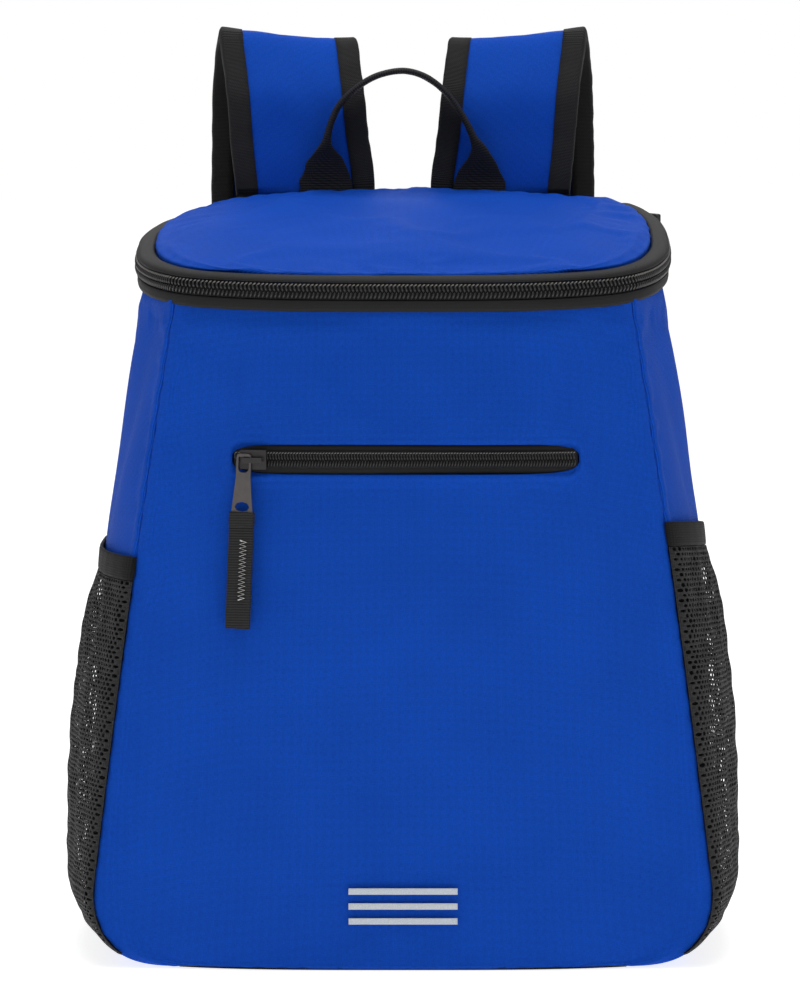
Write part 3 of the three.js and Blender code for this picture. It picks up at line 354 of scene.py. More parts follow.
def outline(t, top, inset):
    """Seam seen from the front: a superellipse round the corner, then up the tapered side."""
    upper = np.clip((t - CORNER_SHARE) / (1 - CORNER_SHARE), 0, 1)
    z_side = lerp(WIDEST_Z, top, upper)
    angle = np.pi / 2 * (1 - np.clip(t / CORNER_SHARE, 0, 1))
    power = 2 / CORNER_POWER
    x_corner = BASE_HALF + (WIDEST_HALF - inset - BASE_HALF) * np.cos(angle) ** power
    z_corner = WIDEST_Z - (WIDEST_Z - inset) * np.sin(angle) ** power
    side = t >= CORNER_SHARE
    return np.where(side, seam_half(z_side) - inset, x_corner), np.where(side, z_side, z_corner)


def seam_y(z):
    """How far forward the front seam lies: a straight line in height."""
    return -lerp(SEAM_BOTTOM_Y, SEAM_TOP_Y, z / FRONT_TOP)


def front_y(u, z):
    """Front face: the seam's place less a crown that falls off to the seams by a power."""
    share = np.clip(z / FRONT_TOP, 0, 1)
    crown = lerp(CROWN_BOTTOM, CROWN_TOP, share) + CROWN_MIDDLE * np.sin(np.pi * share)
    return seam_y(z) - crown * (1 - np.abs(u) ** FRONT_POWER)


def front_at(x, z):
    return front_y(np.clip(x / seam_half(z), -1, 1), z)


def bulge(z):
    """Fullness of a gusset at a height, from its table."""
    return SIDE_BULGE * smooth_table(*GUSSET_FULLNESS, z / FRONT_TOP)


def side_shape(v):
    """Share of that fullness from front to back: one in the middle, falling to the seams by a power."""
    return 1 - np.abs(1 - 2 * v) ** SIDE_POWER


def gusset_face(side, z, v, out):
    """Outer face of a gusset: seam half width, fullness by height and depth, and a distance out."""
    y = lerp(seam_y(z), BACK_Y, v)
    return np.stack(np.broadcast_arrays(side * (seam_half(z) + bulge(z) * side_shape(v) + out), y, z), -1)


BAND_END = (BACK_Y - BACK_WALL - LID_GAP - seam_y(FRONT_TOP)) / (BACK_Y - seam_y(FRONT_TOP))


def plan_point(along):
    """Plan of the rim: front face between -1 and 1, the gussets beyond."""
    along = np.asarray(along, float)
    front = np.clip(along, -1, 1)
    v = np.clip(np.abs(along) - 1, 0, 1) * BAND_END
    face = gusset_face(np.sign(along), np.full_like(along, FRONT_TOP), v, 0)
    inside = np.abs(along) <= 1
    x = np.where(inside, front * TOP_HALF, face[..., 0])
    y = np.where(inside, front_y(front, FRONT_TOP), face[..., 1])
    return np.stack([x, y], -1)


def eased_plan(along):
    """That plan with its corners eased: the mean of nine points round each place."""
    reach = np.minimum(0.13, 2 - np.abs(along))
    steps = np.linspace(-1, 1, 9)
    return np.mean([plan_point(along + step * reach) for step in steps], axis=0)


def plan_offset(along, offset):
    """The rim's plan moved out along its own normal."""
    along, offset = np.broadcast_arrays(np.asarray(along, float), np.asarray(offset, float))
    run = eased_plan(np.minimum(along + 0.04, 2)) - eased_plan(np.maximum(along - 0.04, -2))
    run = run / np.linalg.norm(run, axis=-1)[..., None]
    out = np.stack([run[..., 1], -run[..., 0]], -1)
    return eased_plan(along) + out * offset[..., None]


def rim_point(along, offset, height):
    """Point by the rim: plan moved out by offset, height above the middle of the zip."""
    plan, edge = plan_offset(along, offset), plan_offset(along, np.zeros_like(along))
    return np.stack([plan[..., 0], plan[..., 1], rim_z(edge[..., 0], edge[..., 1]) + height], -1)


def even_rim(steps):
    """Places along the rim at even lengths, with the length up to each."""
    fine = np.linspace(-2, 2, 4001)
    length = length_along(plan_point(fine))
    if isinstance(steps, float):
        steps = int(length[-1] / steps)
    even = np.linspace(0, length[-1], steps + 1)
    return np.interp(even, length, fine), even


# Meshes


def unit(vectors):
    return vectors / np.maximum(np.linalg.norm(vectors, axis=-1), 1e-9)[..., None]


def grid_normals(grid):
    """Normal of a grid at each point: the cross product of its two slopes."""
    return unit(np.cross(np.gradient(grid, axis=1), np.gradient(grid, axis=0)))


def raise_grid(grid, height, outward):
    """Moves each point along its normal, on the side that the outward vector points to."""
    normals = grid_normals(grid)
    sign = np.sign(np.mean(normals @ np.asarray(outward, float)))
    return grid + normals * (sign * height)[..., None]


def build_mesh(name, points, corners, sizes, uv):
    """A mesh from corner indices and face sizes, in millimetres, with its faces turned outward."""
    points = np.asarray(points, float)
    starts = np.concatenate([[0], np.cumsum(sizes)[:-1]])
    first = points[corners[starts]]
    second = points[corners[starts + 1]]
    third = points[corners[starts + 2]]
    volume = np.sum(np.einsum("ij,ij->i", first, np.cross(second, third)))
    last = points[corners[np.minimum(starts + 3, starts + sizes - 1)]]
    volume += np.sum(np.einsum("ij,ij->i", first, np.cross(third, last)))
    if volume < 0:
        face = np.repeat(np.arange(len(sizes)), sizes)
        place = np.arange(len(corners)) - starts[face]
        back = starts[face] + sizes[face] - 1 - place
        corners, uv = corners[back], uv[back]
    mesh = bpy.data.meshes.new(name)
    mesh.vertices.add(len(points))
    mesh.vertices.foreach_set("co", (points * MM).ravel())
    mesh.loops.add(len(corners))
    mesh.loops.foreach_set("vertex_index", corners.astype(np.int32))
    mesh.polygons.add(len(sizes))
    mesh.polygons.foreach_set("loop_start", starts.astype(np.int32))
    mesh.uv_layers.new(name="UVMap").data.foreach_set("uv", (uv * MM).astype(np.float32).ravel())
    mesh.update(calc_edges=True)
    mesh.shade_smooth()
    piece = bpy.data.objects.new(name, mesh)
    bpy.context.scene.collection.objects.link(piece)
    return piece


def grid_quads(rows, columns):
    """Corner indices of a grid's quads, as places in the grid."""
    index = np.arange(rows * columns).reshape(rows, columns)
    corners = index[:-1, :-1], index[:-1, 1:], index[1:, 1:], index[1:, :-1]
    return np.stack(corners, -1).reshape(-1, 4)


def shell(name, outer, inner, uv):
    """Closed wall between two grids of the same size."""
    rows, columns = outer.shape[:2]
    count = rows * columns
    quads = grid_quads(rows, columns)
    index = np.arange(count).reshape(rows, columns)
    edge = np.concatenate([index[0, :-1], index[:-1, -1], index[-1, :0:-1], index[:0:-1, 0]])
    after = np.roll(edge, -1)
    rim = np.stack([after, edge, edge + count, after + count], -1)
    corners = np.concatenate([quads.ravel(), (quads[:, ::-1] + count).ravel(), rim.ravel()])
    sizes = np.full(len(corners) // 4, 4)
    flat_uv = uv.reshape(-1, 2)
    points = np.vstack([outer.reshape(-1, 3), inner.reshape(-1, 3)])
    return build_mesh(name, points, corners, sizes, np.vstack([flat_uv, flat_uv])[corners])


def tube(name, rings, uv):
    """Closed body from rings of points, one after another, with a face over each end."""
    rows, columns = rings.shape[:2]
    quads = grid_quads(rows, columns + 1)
    row, column = quads // (columns + 1), quads % (columns + 1)
    sides = (row * columns + column % columns).ravel()
    start = np.arange(columns)[::-1]
    end = (rows - 1) * columns + np.arange(columns)
    corners = np.concatenate([sides, start, end])
    sizes = np.concatenate([np.full(len(quads), 4), [columns, columns]])
    side_uv = uv.reshape(-1, 2)[quads.ravel()]
    return build_mesh(name, rings.reshape(-1, 3), corners, sizes,
                      np.vstack([side_uv, uv[0, :-1][::-1], uv[-1, :-1]]))


def ring_uv(rings, lengths):
    """UV of a tube: the way round its ring, and the length along it."""
    rows = len(rings)
    closed = np.concatenate([rings, rings[:, :1]], axis=1)
    around = length_along(closed[rows // 2])
    return np.stack(np.broadcast_arrays(around[None, :], np.asarray(lengths)[:, None]), -1)


def repeated(name, shape, quads, origins, axes, uv_scale=1.0):
    """One small body copied to many places: each point is its three sizes along the place's axes."""
    points = origins[:, None, :] + np.einsum("pk,nkd->npd", shape, axes)
    count = len(shape)
    corners = (quads[None] + (np.arange(len(origins)) * count)[:, None, None]).ravel()
    sizes = np.full(len(corners) // 4, 4)
    uv = np.tile(shape[:, :2], (len(origins), 1))[corners] * uv_scale
    return build_mesh(name, points.reshape(-1, 3), corners, sizes, uv)


def bead(path, radii, sides=6):
    """A low tube of few faces along a short path: rings across its first axis, closed at its tips."""
    path, radii = np.asarray(path, float), np.asarray(radii, float)
    turn = np.arange(sides) * 2 * np.pi / sides
    run = unit(np.gradient(path, axis=0))
    across = unit(np.cross(run, [0.0, 0.0, 1.0]))
    up = np.cross(across, run)
    rings = path[:, None] + radii[:, None, None] * (
        np.cos(turn)[None, :, None] * across[:, None] + np.sin(turn)[None, :, None] * up[:, None])
    rows = len(path)
    index = np.arange(rows * sides).reshape(rows, sides)
    nxt = np.roll(index, -1, axis=1)
    quads = np.stack([index[:-1], nxt[:-1], nxt[1:], index[1:]], -1).reshape(-1, 4)
    caps = []
    for ring, flip in ((index[0], True), (index[-1], False)):
        for k in range(1, sides - 2, 2):
            quad = [ring[0], ring[k], ring[k + 1], ring[k + 2]]
            caps.append(quad[::-1] if flip else quad)
    return rings.reshape(-1, 3), np.vstack([quads, np.array(caps)])


def frame_copy(node, name, bevel, segments=2):
    """Copy of a frame node with its doubles merged, its flat faces joined and its edges rounded."""
    work = bmesh.new()
    work.from_mesh(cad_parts[node].data)
    bmesh.ops.remove_doubles(work, verts=work.verts, dist=2e-6)
    bmesh.ops.dissolve_limit(work, angle_limit=0.02, verts=work.verts, edges=work.edges)
    bmesh.ops.recalc_face_normals(work, faces=work.faces)
    mesh = bpy.data.meshes.new(name)
    work.to_mesh(mesh)
    work.free()
    mesh.shade_smooth()
    mesh.set_sharp_from_angle(angle=0.6)
    piece = bpy.data.objects.new(name, mesh)
    bpy.context.scene.collection.objects.link(piece)
    rounding = piece.modifiers.new("Rounded edges", "BEVEL")
    rounding.width = bevel
    rounding.segments = segments
    rounding.limit_method = "ANGLE"
    rounding.angle_limit = 0.5
    return piece


def dress(piece, finish, nodes=(), body="bag"):
    """Gives a piece its material, its body and the nodes that it stands for."""
    piece.data.materials.append(finish)
    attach(piece, body)
    if nodes:
        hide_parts(*nodes)
    return piece


# Materials


def node_value(tree, socket, value):
    """Links a socket to another one, or sets its number."""
    if isinstance(value, bpy.types.NodeSocket):
        tree.links.new(value, socket)
    elif value is not None:
        socket.default_value = value


def calc(tree, operation, a, b=None, c=None):
    """A Math node: the operation on up to three values."""
    node = tree.nodes.new("ShaderNodeMath")
    node.operation = operation
    for socket, value in zip(node.inputs, (a, b, c)):
        node_value(tree, socket, value)
    return node.outputs[0]


def blend_colours(tree, factor, a, b, kind="MIX"):
    """A Mix node on colours."""
    node = tree.nodes.new("ShaderNodeMix")
    node.data_type = "RGBA"
    node.blend_type = kind
    node_value(tree, node.inputs["Factor"], factor)
    node_value(tree, node.inputs[6], a)
    node_value(tree, node.inputs[7], b)
    return node.outputs[2]


def effect(name, inputs, outputs):
    """An empty node group with named inputs and outputs."""
    group = bpy.data.node_groups.new(name, "ShaderNodeTree")
    for label, kind, value in inputs:
        socket = group.interface.new_socket(label, in_out="INPUT", socket_type=kind)
        if value is not None:
            socket.default_value = value
    for label, kind in outputs:
        group.interface.new_socket(label, in_out="OUTPUT", socket_type=kind)
    return group, group.nodes.new("NodeGroupInput"), group.nodes.new("NodeGroupOutput")


def weave_effect():
    """Plain weave: two sets of round threads, each on top where the product of their waves says."""
    if "Plain weave" in bpy.data.node_groups:
        return bpy.data.node_groups["Plain weave"]
    group, given, result = effect(
        "Plain weave",
        [("Vector", "NodeSocketVector", None), ("Thread across", "NodeSocketFloat", 0.0005),
         ("Thread along", "NodeSocketFloat", 0.0005), ("Unevenness", "NodeSocketFloat", 0.3)],
        [("Height", "NodeSocketFloat"), ("Shade", "NodeSocketFloat")])
    split = group.nodes.new("ShaderNodeSeparateXYZ")
    group.links.new(given.outputs["Vector"], split.inputs[0])
    drift = group.nodes.new("ShaderNodeTexNoise")
    drift.inputs["Scale"].default_value = 90.0
    drift.inputs["Detail"].default_value = 2.0
    group.links.new(given.outputs["Vector"], drift.inputs["Vector"])
    waves = []
    for axis, label in ((0, "Thread across"), (1, "Thread along")):
        turns = calc(group, "DIVIDE", split.outputs[axis], given.outputs[label])
        sway = calc(group, "MULTIPLY", drift.outputs["Fac"], given.outputs["Unevenness"])
        waves.append(calc(group, "SINE", calc(group, "MULTIPLY", calc(group, "ADD", turns, sway), np.pi)))
    over = calc(group, "MULTIPLY_ADD", calc(group, "MULTIPLY", *waves), 0.5, 0.5)
    under = calc(group, "SUBTRACT", 1.0, over)
    warp = calc(group, "MULTIPLY", calc(group, "ABSOLUTE", waves[0]), over)
    weft = calc(group, "MULTIPLY", calc(group, "ABSOLUTE", waves[1]), under)
    group.links.new(calc(group, "ADD", warp, weft), result.inputs["Height"])
    # Shade: each thread's height, so the thread tops come out lighter and the crossings darker as painted
    # highlight and painted shade, times the yarn's own slubs.
    tones = []
    for thread, stretch in ((warp, (1900, 520, 1)), (weft, (520, 1900, 1))):
        drawn = group.nodes.new("ShaderNodeVectorMath")
        drawn.operation = "MULTIPLY"
        drawn.inputs[1].default_value = stretch
        group.links.new(given.outputs["Vector"], drawn.inputs[0])
        slub = group.nodes.new("ShaderNodeTexNoise")
        slub.inputs["Scale"].default_value = 1.0
        slub.inputs["Detail"].default_value = 0.0
        group.links.new(drawn.outputs[0], slub.inputs["Vector"])
        swing = calc(group, "MULTIPLY", calc(group, "SUBTRACT", slub.outputs["Fac"], 0.5),
                     calc(group, "MULTIPLY", given.outputs["Unevenness"], 3.5))
        tones.append(calc(group, "MULTIPLY", thread, calc(group, "ADD", swing, 1.0)))
    group.links.new(calc(group, "ADD", *tones), result.inputs["Shade"])
    return group


def rib_effect():
    """Ribs across the length: round ridges along V, each broken by the fine threads that cross it."""
    if "Cross ribs" in bpy.data.node_groups:
        return bpy.data.node_groups["Cross ribs"]
    group, given, result = effect(
        "Cross ribs",
        [("Vector", "NodeSocketVector", None), ("Thread across", "NodeSocketFloat", 0.0008),
         ("Thread along", "NodeSocketFloat", 0.0009), ("Unevenness", "NodeSocketFloat", 0.3)],
        [("Height", "NodeSocketFloat"), ("Shade", "NodeSocketFloat")])
    split = group.nodes.new("ShaderNodeSeparateXYZ")
    group.links.new(given.outputs["Vector"], split.inputs[0])
    drift = group.nodes.new("ShaderNodeTexNoise")
    drift.inputs["Scale"].default_value = 140.0
    drift.inputs["Detail"].default_value = 2.0
    group.links.new(given.outputs["Vector"], drift.inputs["Vector"])
    sway = calc(group, "MULTIPLY", drift.outputs["Fac"], given.outputs["Unevenness"])
    rows = calc(group, "ADD", calc(group, "DIVIDE", split.outputs[1], given.outputs["Thread along"]), sway)
    ridge = calc(group, "ABSOLUTE", calc(group, "SINE", calc(group, "MULTIPLY", rows, np.pi)))
    turns = calc(group, "DIVIDE", split.outputs[0], given.outputs["Thread across"])
    slant = calc(group, "MULTIPLY_ADD", rows, 0.5, turns)
    thread = calc(group, "ABSOLUTE", calc(group, "SINE", calc(group, "MULTIPLY", slant, np.pi)))
    height = calc(group, "MULTIPLY", ridge, calc(group, "MULTIPLY_ADD", thread, 0.55, 0.45))
    group.links.new(height, result.inputs["Height"])
    # Shade: the rib height, lighter on the ridges and darker in the grooves as painted highlight and
    # painted shade, plus the yarn's own random patches.
    yarn = group.nodes.new("ShaderNodeTexNoise")
    yarn.inputs["Scale"].default_value = 500.0
    group.links.new(given.outputs["Vector"], yarn.inputs["Vector"])
    patchy = calc(group, "MULTIPLY", calc(group, "SUBTRACT", yarn.outputs["Fac"], 0.5),
                  given.outputs["Unevenness"])
    group.links.new(calc(group, "ADD", height, patchy), result.inputs["Shade"])
    return group


def mottle_effect():
    """Broad uneven patches, as of dust, pressing and dye, from soft noise in the piece's own space."""
    if "Mottling" in bpy.data.node_groups:
        return bpy.data.node_groups["Mottling"]
    group, given, result = effect(
        "Mottling",
        [("Vector", "NodeSocketVector", None), ("Scale", "NodeSocketFloat", 40.0),
         ("Amount", "NodeSocketFloat", 0.1)],
        [("Factor", "NodeSocketFloat")])
    noise = group.nodes.new("ShaderNodeTexNoise")
    noise.inputs["Detail"].default_value = 4.0
    group.links.new(given.outputs["Vector"], noise.inputs["Vector"])
    group.links.new(given.outputs["Scale"], noise.inputs["Scale"])
    off_middle = calc(group, "SUBTRACT", noise.outputs["Fac"], 0.5)
    swing = calc(group, "MULTIPLY", off_middle, given.outputs["Amount"])
    group.links.new(calc(group, "ADD", swing, 1.0), result.inputs["Factor"])
    return group


def new_material(name, roughness, sheen=0.0, metallic=0.0, specular=0.5):
    """A material with its shader, and nothing else yet."""
    finish = bpy.data.materials.new(name)
    finish.use_nodes = True
    tree = finish.node_tree
    shader = tree.nodes["Principled BSDF"]
    shader.inputs["Roughness"].default_value = roughness
    shader.inputs["Metallic"].default_value = metallic
    shader.inputs["Specular IOR Level"].default_value = specular
    shader.inputs["Sheen Weight"].default_value = sheen
    shader.inputs["Sheen Roughness"].default_value = 0.45
    return finish, tree, shader


def use_effect(tree, group, **values):
    """Places an effect in a material with this material's own values."""
    node = tree.nodes.new("ShaderNodeGroup")
    node.node_tree = group
    for label, value in values.items():
        node_value(tree, node.inputs[label.replace("_", " ")], value)
    return node


def add_bump(tree, shader, height, depth, strength=1.0):
    """Bump on a shader from a height, with its depth in metres."""
    bump = tree.nodes.new("ShaderNodeBump")
    bump.inputs["Strength"].default_value = strength
    bump.inputs["Distance"].default_value = depth
    tree.links.new(height, bump.inputs["Height"])
    tree.links.new(bump.outputs[0], shader.inputs["Normal"])


# A lit or shaded copy of a colour: the colour times a factor, for painted highlights and painted shade.
def shaded(colour, factor):
    return (*[min(1.0, channel * factor) for channel in colour], 1.0)


def woven_material(name, colour, across, along, depth, light=2.25, dark=0.06, uneven=0.16,
                   roughness=0.62, sheen=0.012, dark_between=None, specular=0.06, ribs=False):
    """Woven cloth: threads lighter on top and darker between, as painted highlight and painted shade, with
    mottling, on the piece's UV map.

    dark_between gives the lowest height of a black stretch, its top at y = 0 and that top's slope in y.
    """
    if name in bpy.data.materials:
        return bpy.data.materials[name]
    finish, tree, shader = new_material(name, roughness, sheen, specular=specular)
    place = tree.nodes.new("ShaderNodeTexCoord")
    weave = use_effect(tree, rib_effect() if ribs else weave_effect(), Vector=place.outputs["UV"],
                       Thread_across=across, Thread_along=along, Unevenness=uneven)
    mottle = use_effect(tree, mottle_effect(), Vector=place.outputs["Object"], Scale=28.0, Amount=0.22)
    # Painted highlight and painted shade: the colour runs from dark times the colour in the hollows of the
    # weave to light times it on the thread tops.
    colours = blend_colours(tree, weave.outputs["Shade"], shaded(colour, dark), shaded(colour, light))
    if dark_between is not None:
        split = tree.nodes.new("ShaderNodeSeparateXYZ")
        tree.links.new(place.outputs["Object"], split.inputs[0])
        bottom, top, slope = dark_between
        above = calc(tree, "GREATER_THAN", split.outputs[2], bottom)
        level = calc(tree, "MULTIPLY", split.outputs[1], slope)
        below = calc(tree, "LESS_THAN", calc(tree, "SUBTRACT", split.outputs[2], level), top)
        black = calc(tree, "MULTIPLY", above, below)
        colours = blend_colours(tree, black, colours, (0.005, 0.005, 0.006, 1))
    tint = tree.nodes.new("ShaderNodeVectorMath")
    tint.operation = "SCALE"
    tree.links.new(colours, tint.inputs[0])
    tree.links.new(mottle.outputs["Factor"], tint.inputs["Scale"])
    tree.links.new(tint.outputs[0], shader.inputs["Base Color"])
    add_bump(tree, shader, weave.outputs["Height"], depth, 0.8)
    return finish


def hard_material(name, colour, roughness, metallic=0.0, grain=900.0, depth=0.00003, specular=0.5):
    """Moulded or lacquered surface: fine grain in the bump and soft patches in the gloss."""
    if name in bpy.data.materials:
        return bpy.data.materials[name]
    finish, tree, shader = new_material(name, roughness, metallic=metallic, specular=specular)
    place = tree.nodes.new("ShaderNodeTexCoord")
    mottle = use_effect(tree, mottle_effect(), Vector=place.outputs["Object"], Scale=160.0, Amount=0.5)
    tree.links.new(calc(tree, "MULTIPLY", mottle.outputs["Factor"], roughness), shader.inputs["Roughness"])
    wear = use_effect(tree, mottle_effect(), Vector=place.outputs["Object"], Scale=400.0, Amount=0.3)
    tint = tree.nodes.new("ShaderNodeVectorMath")
    tint.operation = "SCALE"
    tint.inputs[0].default_value = colour
    tree.links.new(wear.outputs["Factor"], tint.inputs["Scale"])
    tree.links.new(tint.outputs[0], shader.inputs["Base Color"])
    noise = tree.nodes.new("ShaderNodeTexNoise")
    noise.inputs["Scale"].default_value = grain
    tree.links.new(place.outputs["Object"], noise.inputs["Vector"])
    add_bump(tree, shader, noise.outputs["Fac"], depth)
    return finish


def body_cloth(cloth):
    return woven_material("Body cloth", cloth.blue, cloth.thread, cloth.thread, 0.00022)


def plain_black(cloth):
    return woven_material("Black cloth", cloth.black, cloth.thread, cloth.thread, 0.00022)


def ribbed_tape(cloth):
    return woven_material("Ribbed tape", cloth.webbing, 0.0009, 0.00085, 0.0003, light=2.6, dark=0.2,
                          ribs=True, specular=0.12)


def webbing_cloth(cloth):
    return woven_material("Webbing", cloth.webbing, 0.0011, 0.0012, 0.0003, light=2.4, dark=0.2,
                          ribs=True, specular=0.12)


def pale_stitch():
    return woven_material("Pale stitch", (0.16, 0.155, 0.15), 0.0003, 0.0004, 0.00008, light=1.5, dark=0.5)


def twill_tape(zips):
    return woven_material("Zip tape", zips.tape, 0.0007, 0.0005, 0.00012, light=1.5, dark=0.6,
                          specular=0.2)


# Walls of the bag


def slot_distance(x, z):
    """Distance from the pocket's slot: that of a rounded rectangle, negative inside it."""
    corner = 5.0
    middle, half = (SLOT_LEFT + SLOT_RIGHT) / 2, (SLOT_RIGHT - SLOT_LEFT) / 2
    a = np.abs(x - middle) - (half - corner)
    b = np.abs(z - SLOT_Z) - (SLOT_HALF - corner)
    outside = np.hypot(np.maximum(a, 0), np.maximum(b, 0))
    return outside + np.minimum(np.maximum(a, b), 0) - corner


def crowded(*stretches):
    """Places from one stretch after another, each given as its start, end and number of steps."""
    parts = [np.linspace(start, end, steps, endpoint=False) for start, end, steps in stretches]
    return np.concatenate([*parts, [stretches[-1][1]]])


def front_grid(u, t, depth):
    """Front wall: the outline across, on the crowned front face; depth 0 is outside, 1 inside."""
    top = rim_z(u * TOP_HALF, front_y(u, FRONT_TOP)) - WALL_DROP
    x, z = outline(t, top, depth * WALL + MITRE_GAP)
    return np.stack([u * x, front_y(u, z) + depth * WALL, z], -1)


class BACKPACK_OT_front_panel(bpy.types.Operator):
    """Front wall with the turned edge of its pocket slot"""

    bl_idname = "backpack.front_panel"
    bl_label = "Front Panel"

    def execute(self, context):
        cloth = context.scene.backpack_cloth
        columns = crowded((-1, -0.94, 12), (-0.94, -0.7, 14), (-0.7, -0.62, 14), (-0.62, 0.65, 46),
                          (0.65, 0.73, 14), (0.73, 0.94, 12), (0.94, 1, 12))
        slot_low, slot_high = (CORNER_SHARE + (1 - CORNER_SHARE) * (z - WIDEST_Z) / (FRONT_TOP - WIDEST_Z)
                               for z in (SLOT_Z - 14, SLOT_Z + 14))
        rows = crowded((0, 0.05, 8), (0.05, CORNER_SHARE, 20), (CORNER_SHARE, slot_low, 58),
                       (slot_low, slot_high, 40), (slot_high, 0.97, 16), (0.97, 1, 8))
        u, t = np.meshgrid(columns, rows)
        outer, inner = front_grid(u, t, 0.0), front_grid(u, t, 1.0)
        x, z = outer[..., 0], outer[..., 2]
        to_seam = (1 - np.abs(u)) * outline(t, FRONT_TOP, 0)[0]
        to_edge = np.minimum(np.minimum(to_seam, z), outer[-1:, :, 2] - z)
        slot = slot_distance(x, z)
        height = settle(lambda a, b: front_grid(2 * a - 1, b, 0.0), (0, -1, 0), self.held,
                        2.0, 0.008, 1.6, rows, (columns + 1) / 2)
        height += cloth.undulation / MM * soft_noise(x, z, 95, 3) * np.clip(to_edge / 25, 0, 1)
        height += cloth.pucker / MM * np.exp(-to_seam / 6) * np.sin(z / 2.1 + 2 * soft_noise(x, z, 40, 5))
        height += 0.9 * np.exp(-(np.maximum(slot, 0) / 5.0) ** 2)
        height -= 0.35 * np.exp(-((slot - 3.4) / 0.6) ** 2)
        height -= np.where(slot < 1.4, roll(np.maximum(slot, 0), 1.4), 0) + roll(to_edge, 1.8)
        outer = raise_grid(outer, height, (0, -1, 0))
        panel = shell("front_panel_cloth", outer, inner, np.stack([x, z], -1))
        self.cut_slot(panel)
        dress(panel, body_cloth(cloth), ["front_panel"])
        return {"FINISHED"}

    def held(self, a, b, grid):
        """Held along the seams and round the slot."""
        edge = np.minimum(np.minimum(a, 1 - a), np.minimum(b, 1 - b)) < 0.02
        return edge | (slot_distance(grid[..., 0], grid[..., 2]) < 5)

    def cut_slot(self, panel):
        """Cuts the slot through: its outline is a superellipse, carried through the wall."""
        angle = np.linspace(0, 2 * np.pi, 96, endpoint=False) + 0.01
        middle, half = (SLOT_LEFT + SLOT_RIGHT) / 2, (SLOT_RIGHT - SLOT_LEFT) / 2
        x = middle + half * squared(np.cos(angle), 2 / 9)
        z = SLOT_Z + SLOT_HALF * squared(np.sin(angle), 2 / 3)
        depths = np.array([front_at(0, SLOT_Z) - 20, front_at(0, SLOT_Z) + 30])
        rings = np.stack(np.broadcast_arrays(x[None], depths[:, None], z[None]), -1)
        cutter = tube("slot_cutter", rings, ring_uv(rings, depths))
        cut = panel.modifiers.new("Slot", "BOOLEAN")
        cut.operation = "DIFFERENCE"
        cut.object = cutter
        graph = bpy.context.evaluated_depsgraph_get()
        mesh = bpy.data.meshes.new_from_object(panel.evaluated_get(graph))
        panel.modifiers.clear()
        panel.data = mesh
        panel.data.materials.clear()
        bpy.data.objects.remove(cutter)


def seams_held(a, b, _):
    """Held in a narrow band along all four edges."""
    return np.minimum(np.minimum(a, 1 - a), np.minimum(b, 1 - b)) < 0.02


def gusset_grid(side, v, t, depth):
    """Gusset: the seam's outline moved out by its fullness; depth 0 is its outer face, 1 its inner."""
    rough_y = lerp(seam_y(FRONT_TOP), BACK_Y, v)
    x, z = outline(t, rim_z(side * TOP_HALF, rough_y) - WALL_DROP, depth * WALL)
    y = lerp(seam_y(z) + depth * WALL, BACK_Y - depth * BACK_WALL, v)
    return np.stack([side * (x + bulge(z) * side_shape(v)), y, z], -1)


class BACKPACK_OT_side_gussets(bpy.types.Operator):
    """Side walls, with a soft upright fold in each above the pocket"""

    bl_idname = "backpack.side_gussets"
    bl_label = "Side Gussets"

    def execute(self, context):
        cloth = context.scene.backpack_cloth
        for name, side in SIDES.items():
            v, t = np.meshgrid(crowded((0, 0.04, 8), (0.04, 0.96, 70), (0.96, 1, 8)),
                               crowded((0, CORNER_SHARE, 24), (CORNER_SHARE, 0.97, 96), (0.97, 1, 8)))
            outer, inner = gusset_grid(side, v, t, 0.0), gusset_grid(side, v, t, 1.0)
            blown = settle(lambda a, b: gusset_grid(side, a, b, 0.0), (side, 0, 0), seams_held,
                           2.0, 0.012, 1.8, t[:, 0], v[0])
            y, z = outer[..., 1], outer[..., 2]
            to_seam = np.minimum(y - seam_y(z), BACK_Y - y)
            to_edge = np.minimum(to_seam, outer[-1:, :, 2] - z)
            above = 1 / (1 + np.exp(-(z - 205) / 12))
            middle = 0.34 - 0.10 * (z - 250) / 60
            crest = 1.8 * np.exp(-((v - middle) / 0.07) ** 2)
            fold = crest - 1.5 * np.exp(-((v - middle + 0.14) / 0.06) ** 2)
            height = blown * above
            waves = soft_noise(y, z, 70, 11 + int(side))
            height += cloth.undulation / MM * waves * np.clip(to_edge / 25, 0, 1)
            height += fold * above * np.clip(to_edge / 12, 0, 1)
            height += cloth.pucker / MM * np.exp(-to_seam / 8) * np.sin(z / 2.3 + soft_noise(y, z, 30, 17))
            height -= roll(to_edge, 1.6)
            outer = raise_grid(outer, height, (side, 0, 0))
            piece = shell(f"side_gusset_cloth_{name}", outer, inner, np.stack([y, z], -1))
            front_top, back_top = HEM_TOPS[name]
            slope = (back_top - front_top) / (BACK_Y - seam_y(front_top))
            level = (back_top - HEM_HEIGHT / 2 - slope * BACK_Y) * MM
            finish = woven_material(f"Body cloth {name}", cloth.blue, cloth.thread, cloth.thread, 0.00022,
                                    dark_between=(0.0062, level, slope))
            dress(piece, finish, [f"side_gusset_{name}"])
        return {"FINISHED"}


LID_OFFSET = -(LID_INSET + LID_GAP)
LID_BACK_Y = BACK_Y - BACK_WALL - GAP
LID_ROWS = 12


def lid_edge(row):
    """Right edge of the lid: it follows the rim, and its first stretch runs on to the back panel."""
    place = np.maximum(row * LID_ROWS - 1, 0) / (LID_ROWS - 1)
    edge = plan_offset(lerp(2, LID_FRONT_SPAN, place), np.full_like(row, LID_OFFSET))
    rear = plan_offset(np.array([2.0, 1.96]), np.full(2, LID_OFFSET))
    run = rear[0] - rear[1]
    share = np.clip(1 - row * LID_ROWS, 0, 1)[..., None]
    return edge + share * run * (LID_BACK_Y - rear[0, 1]) / run[1]


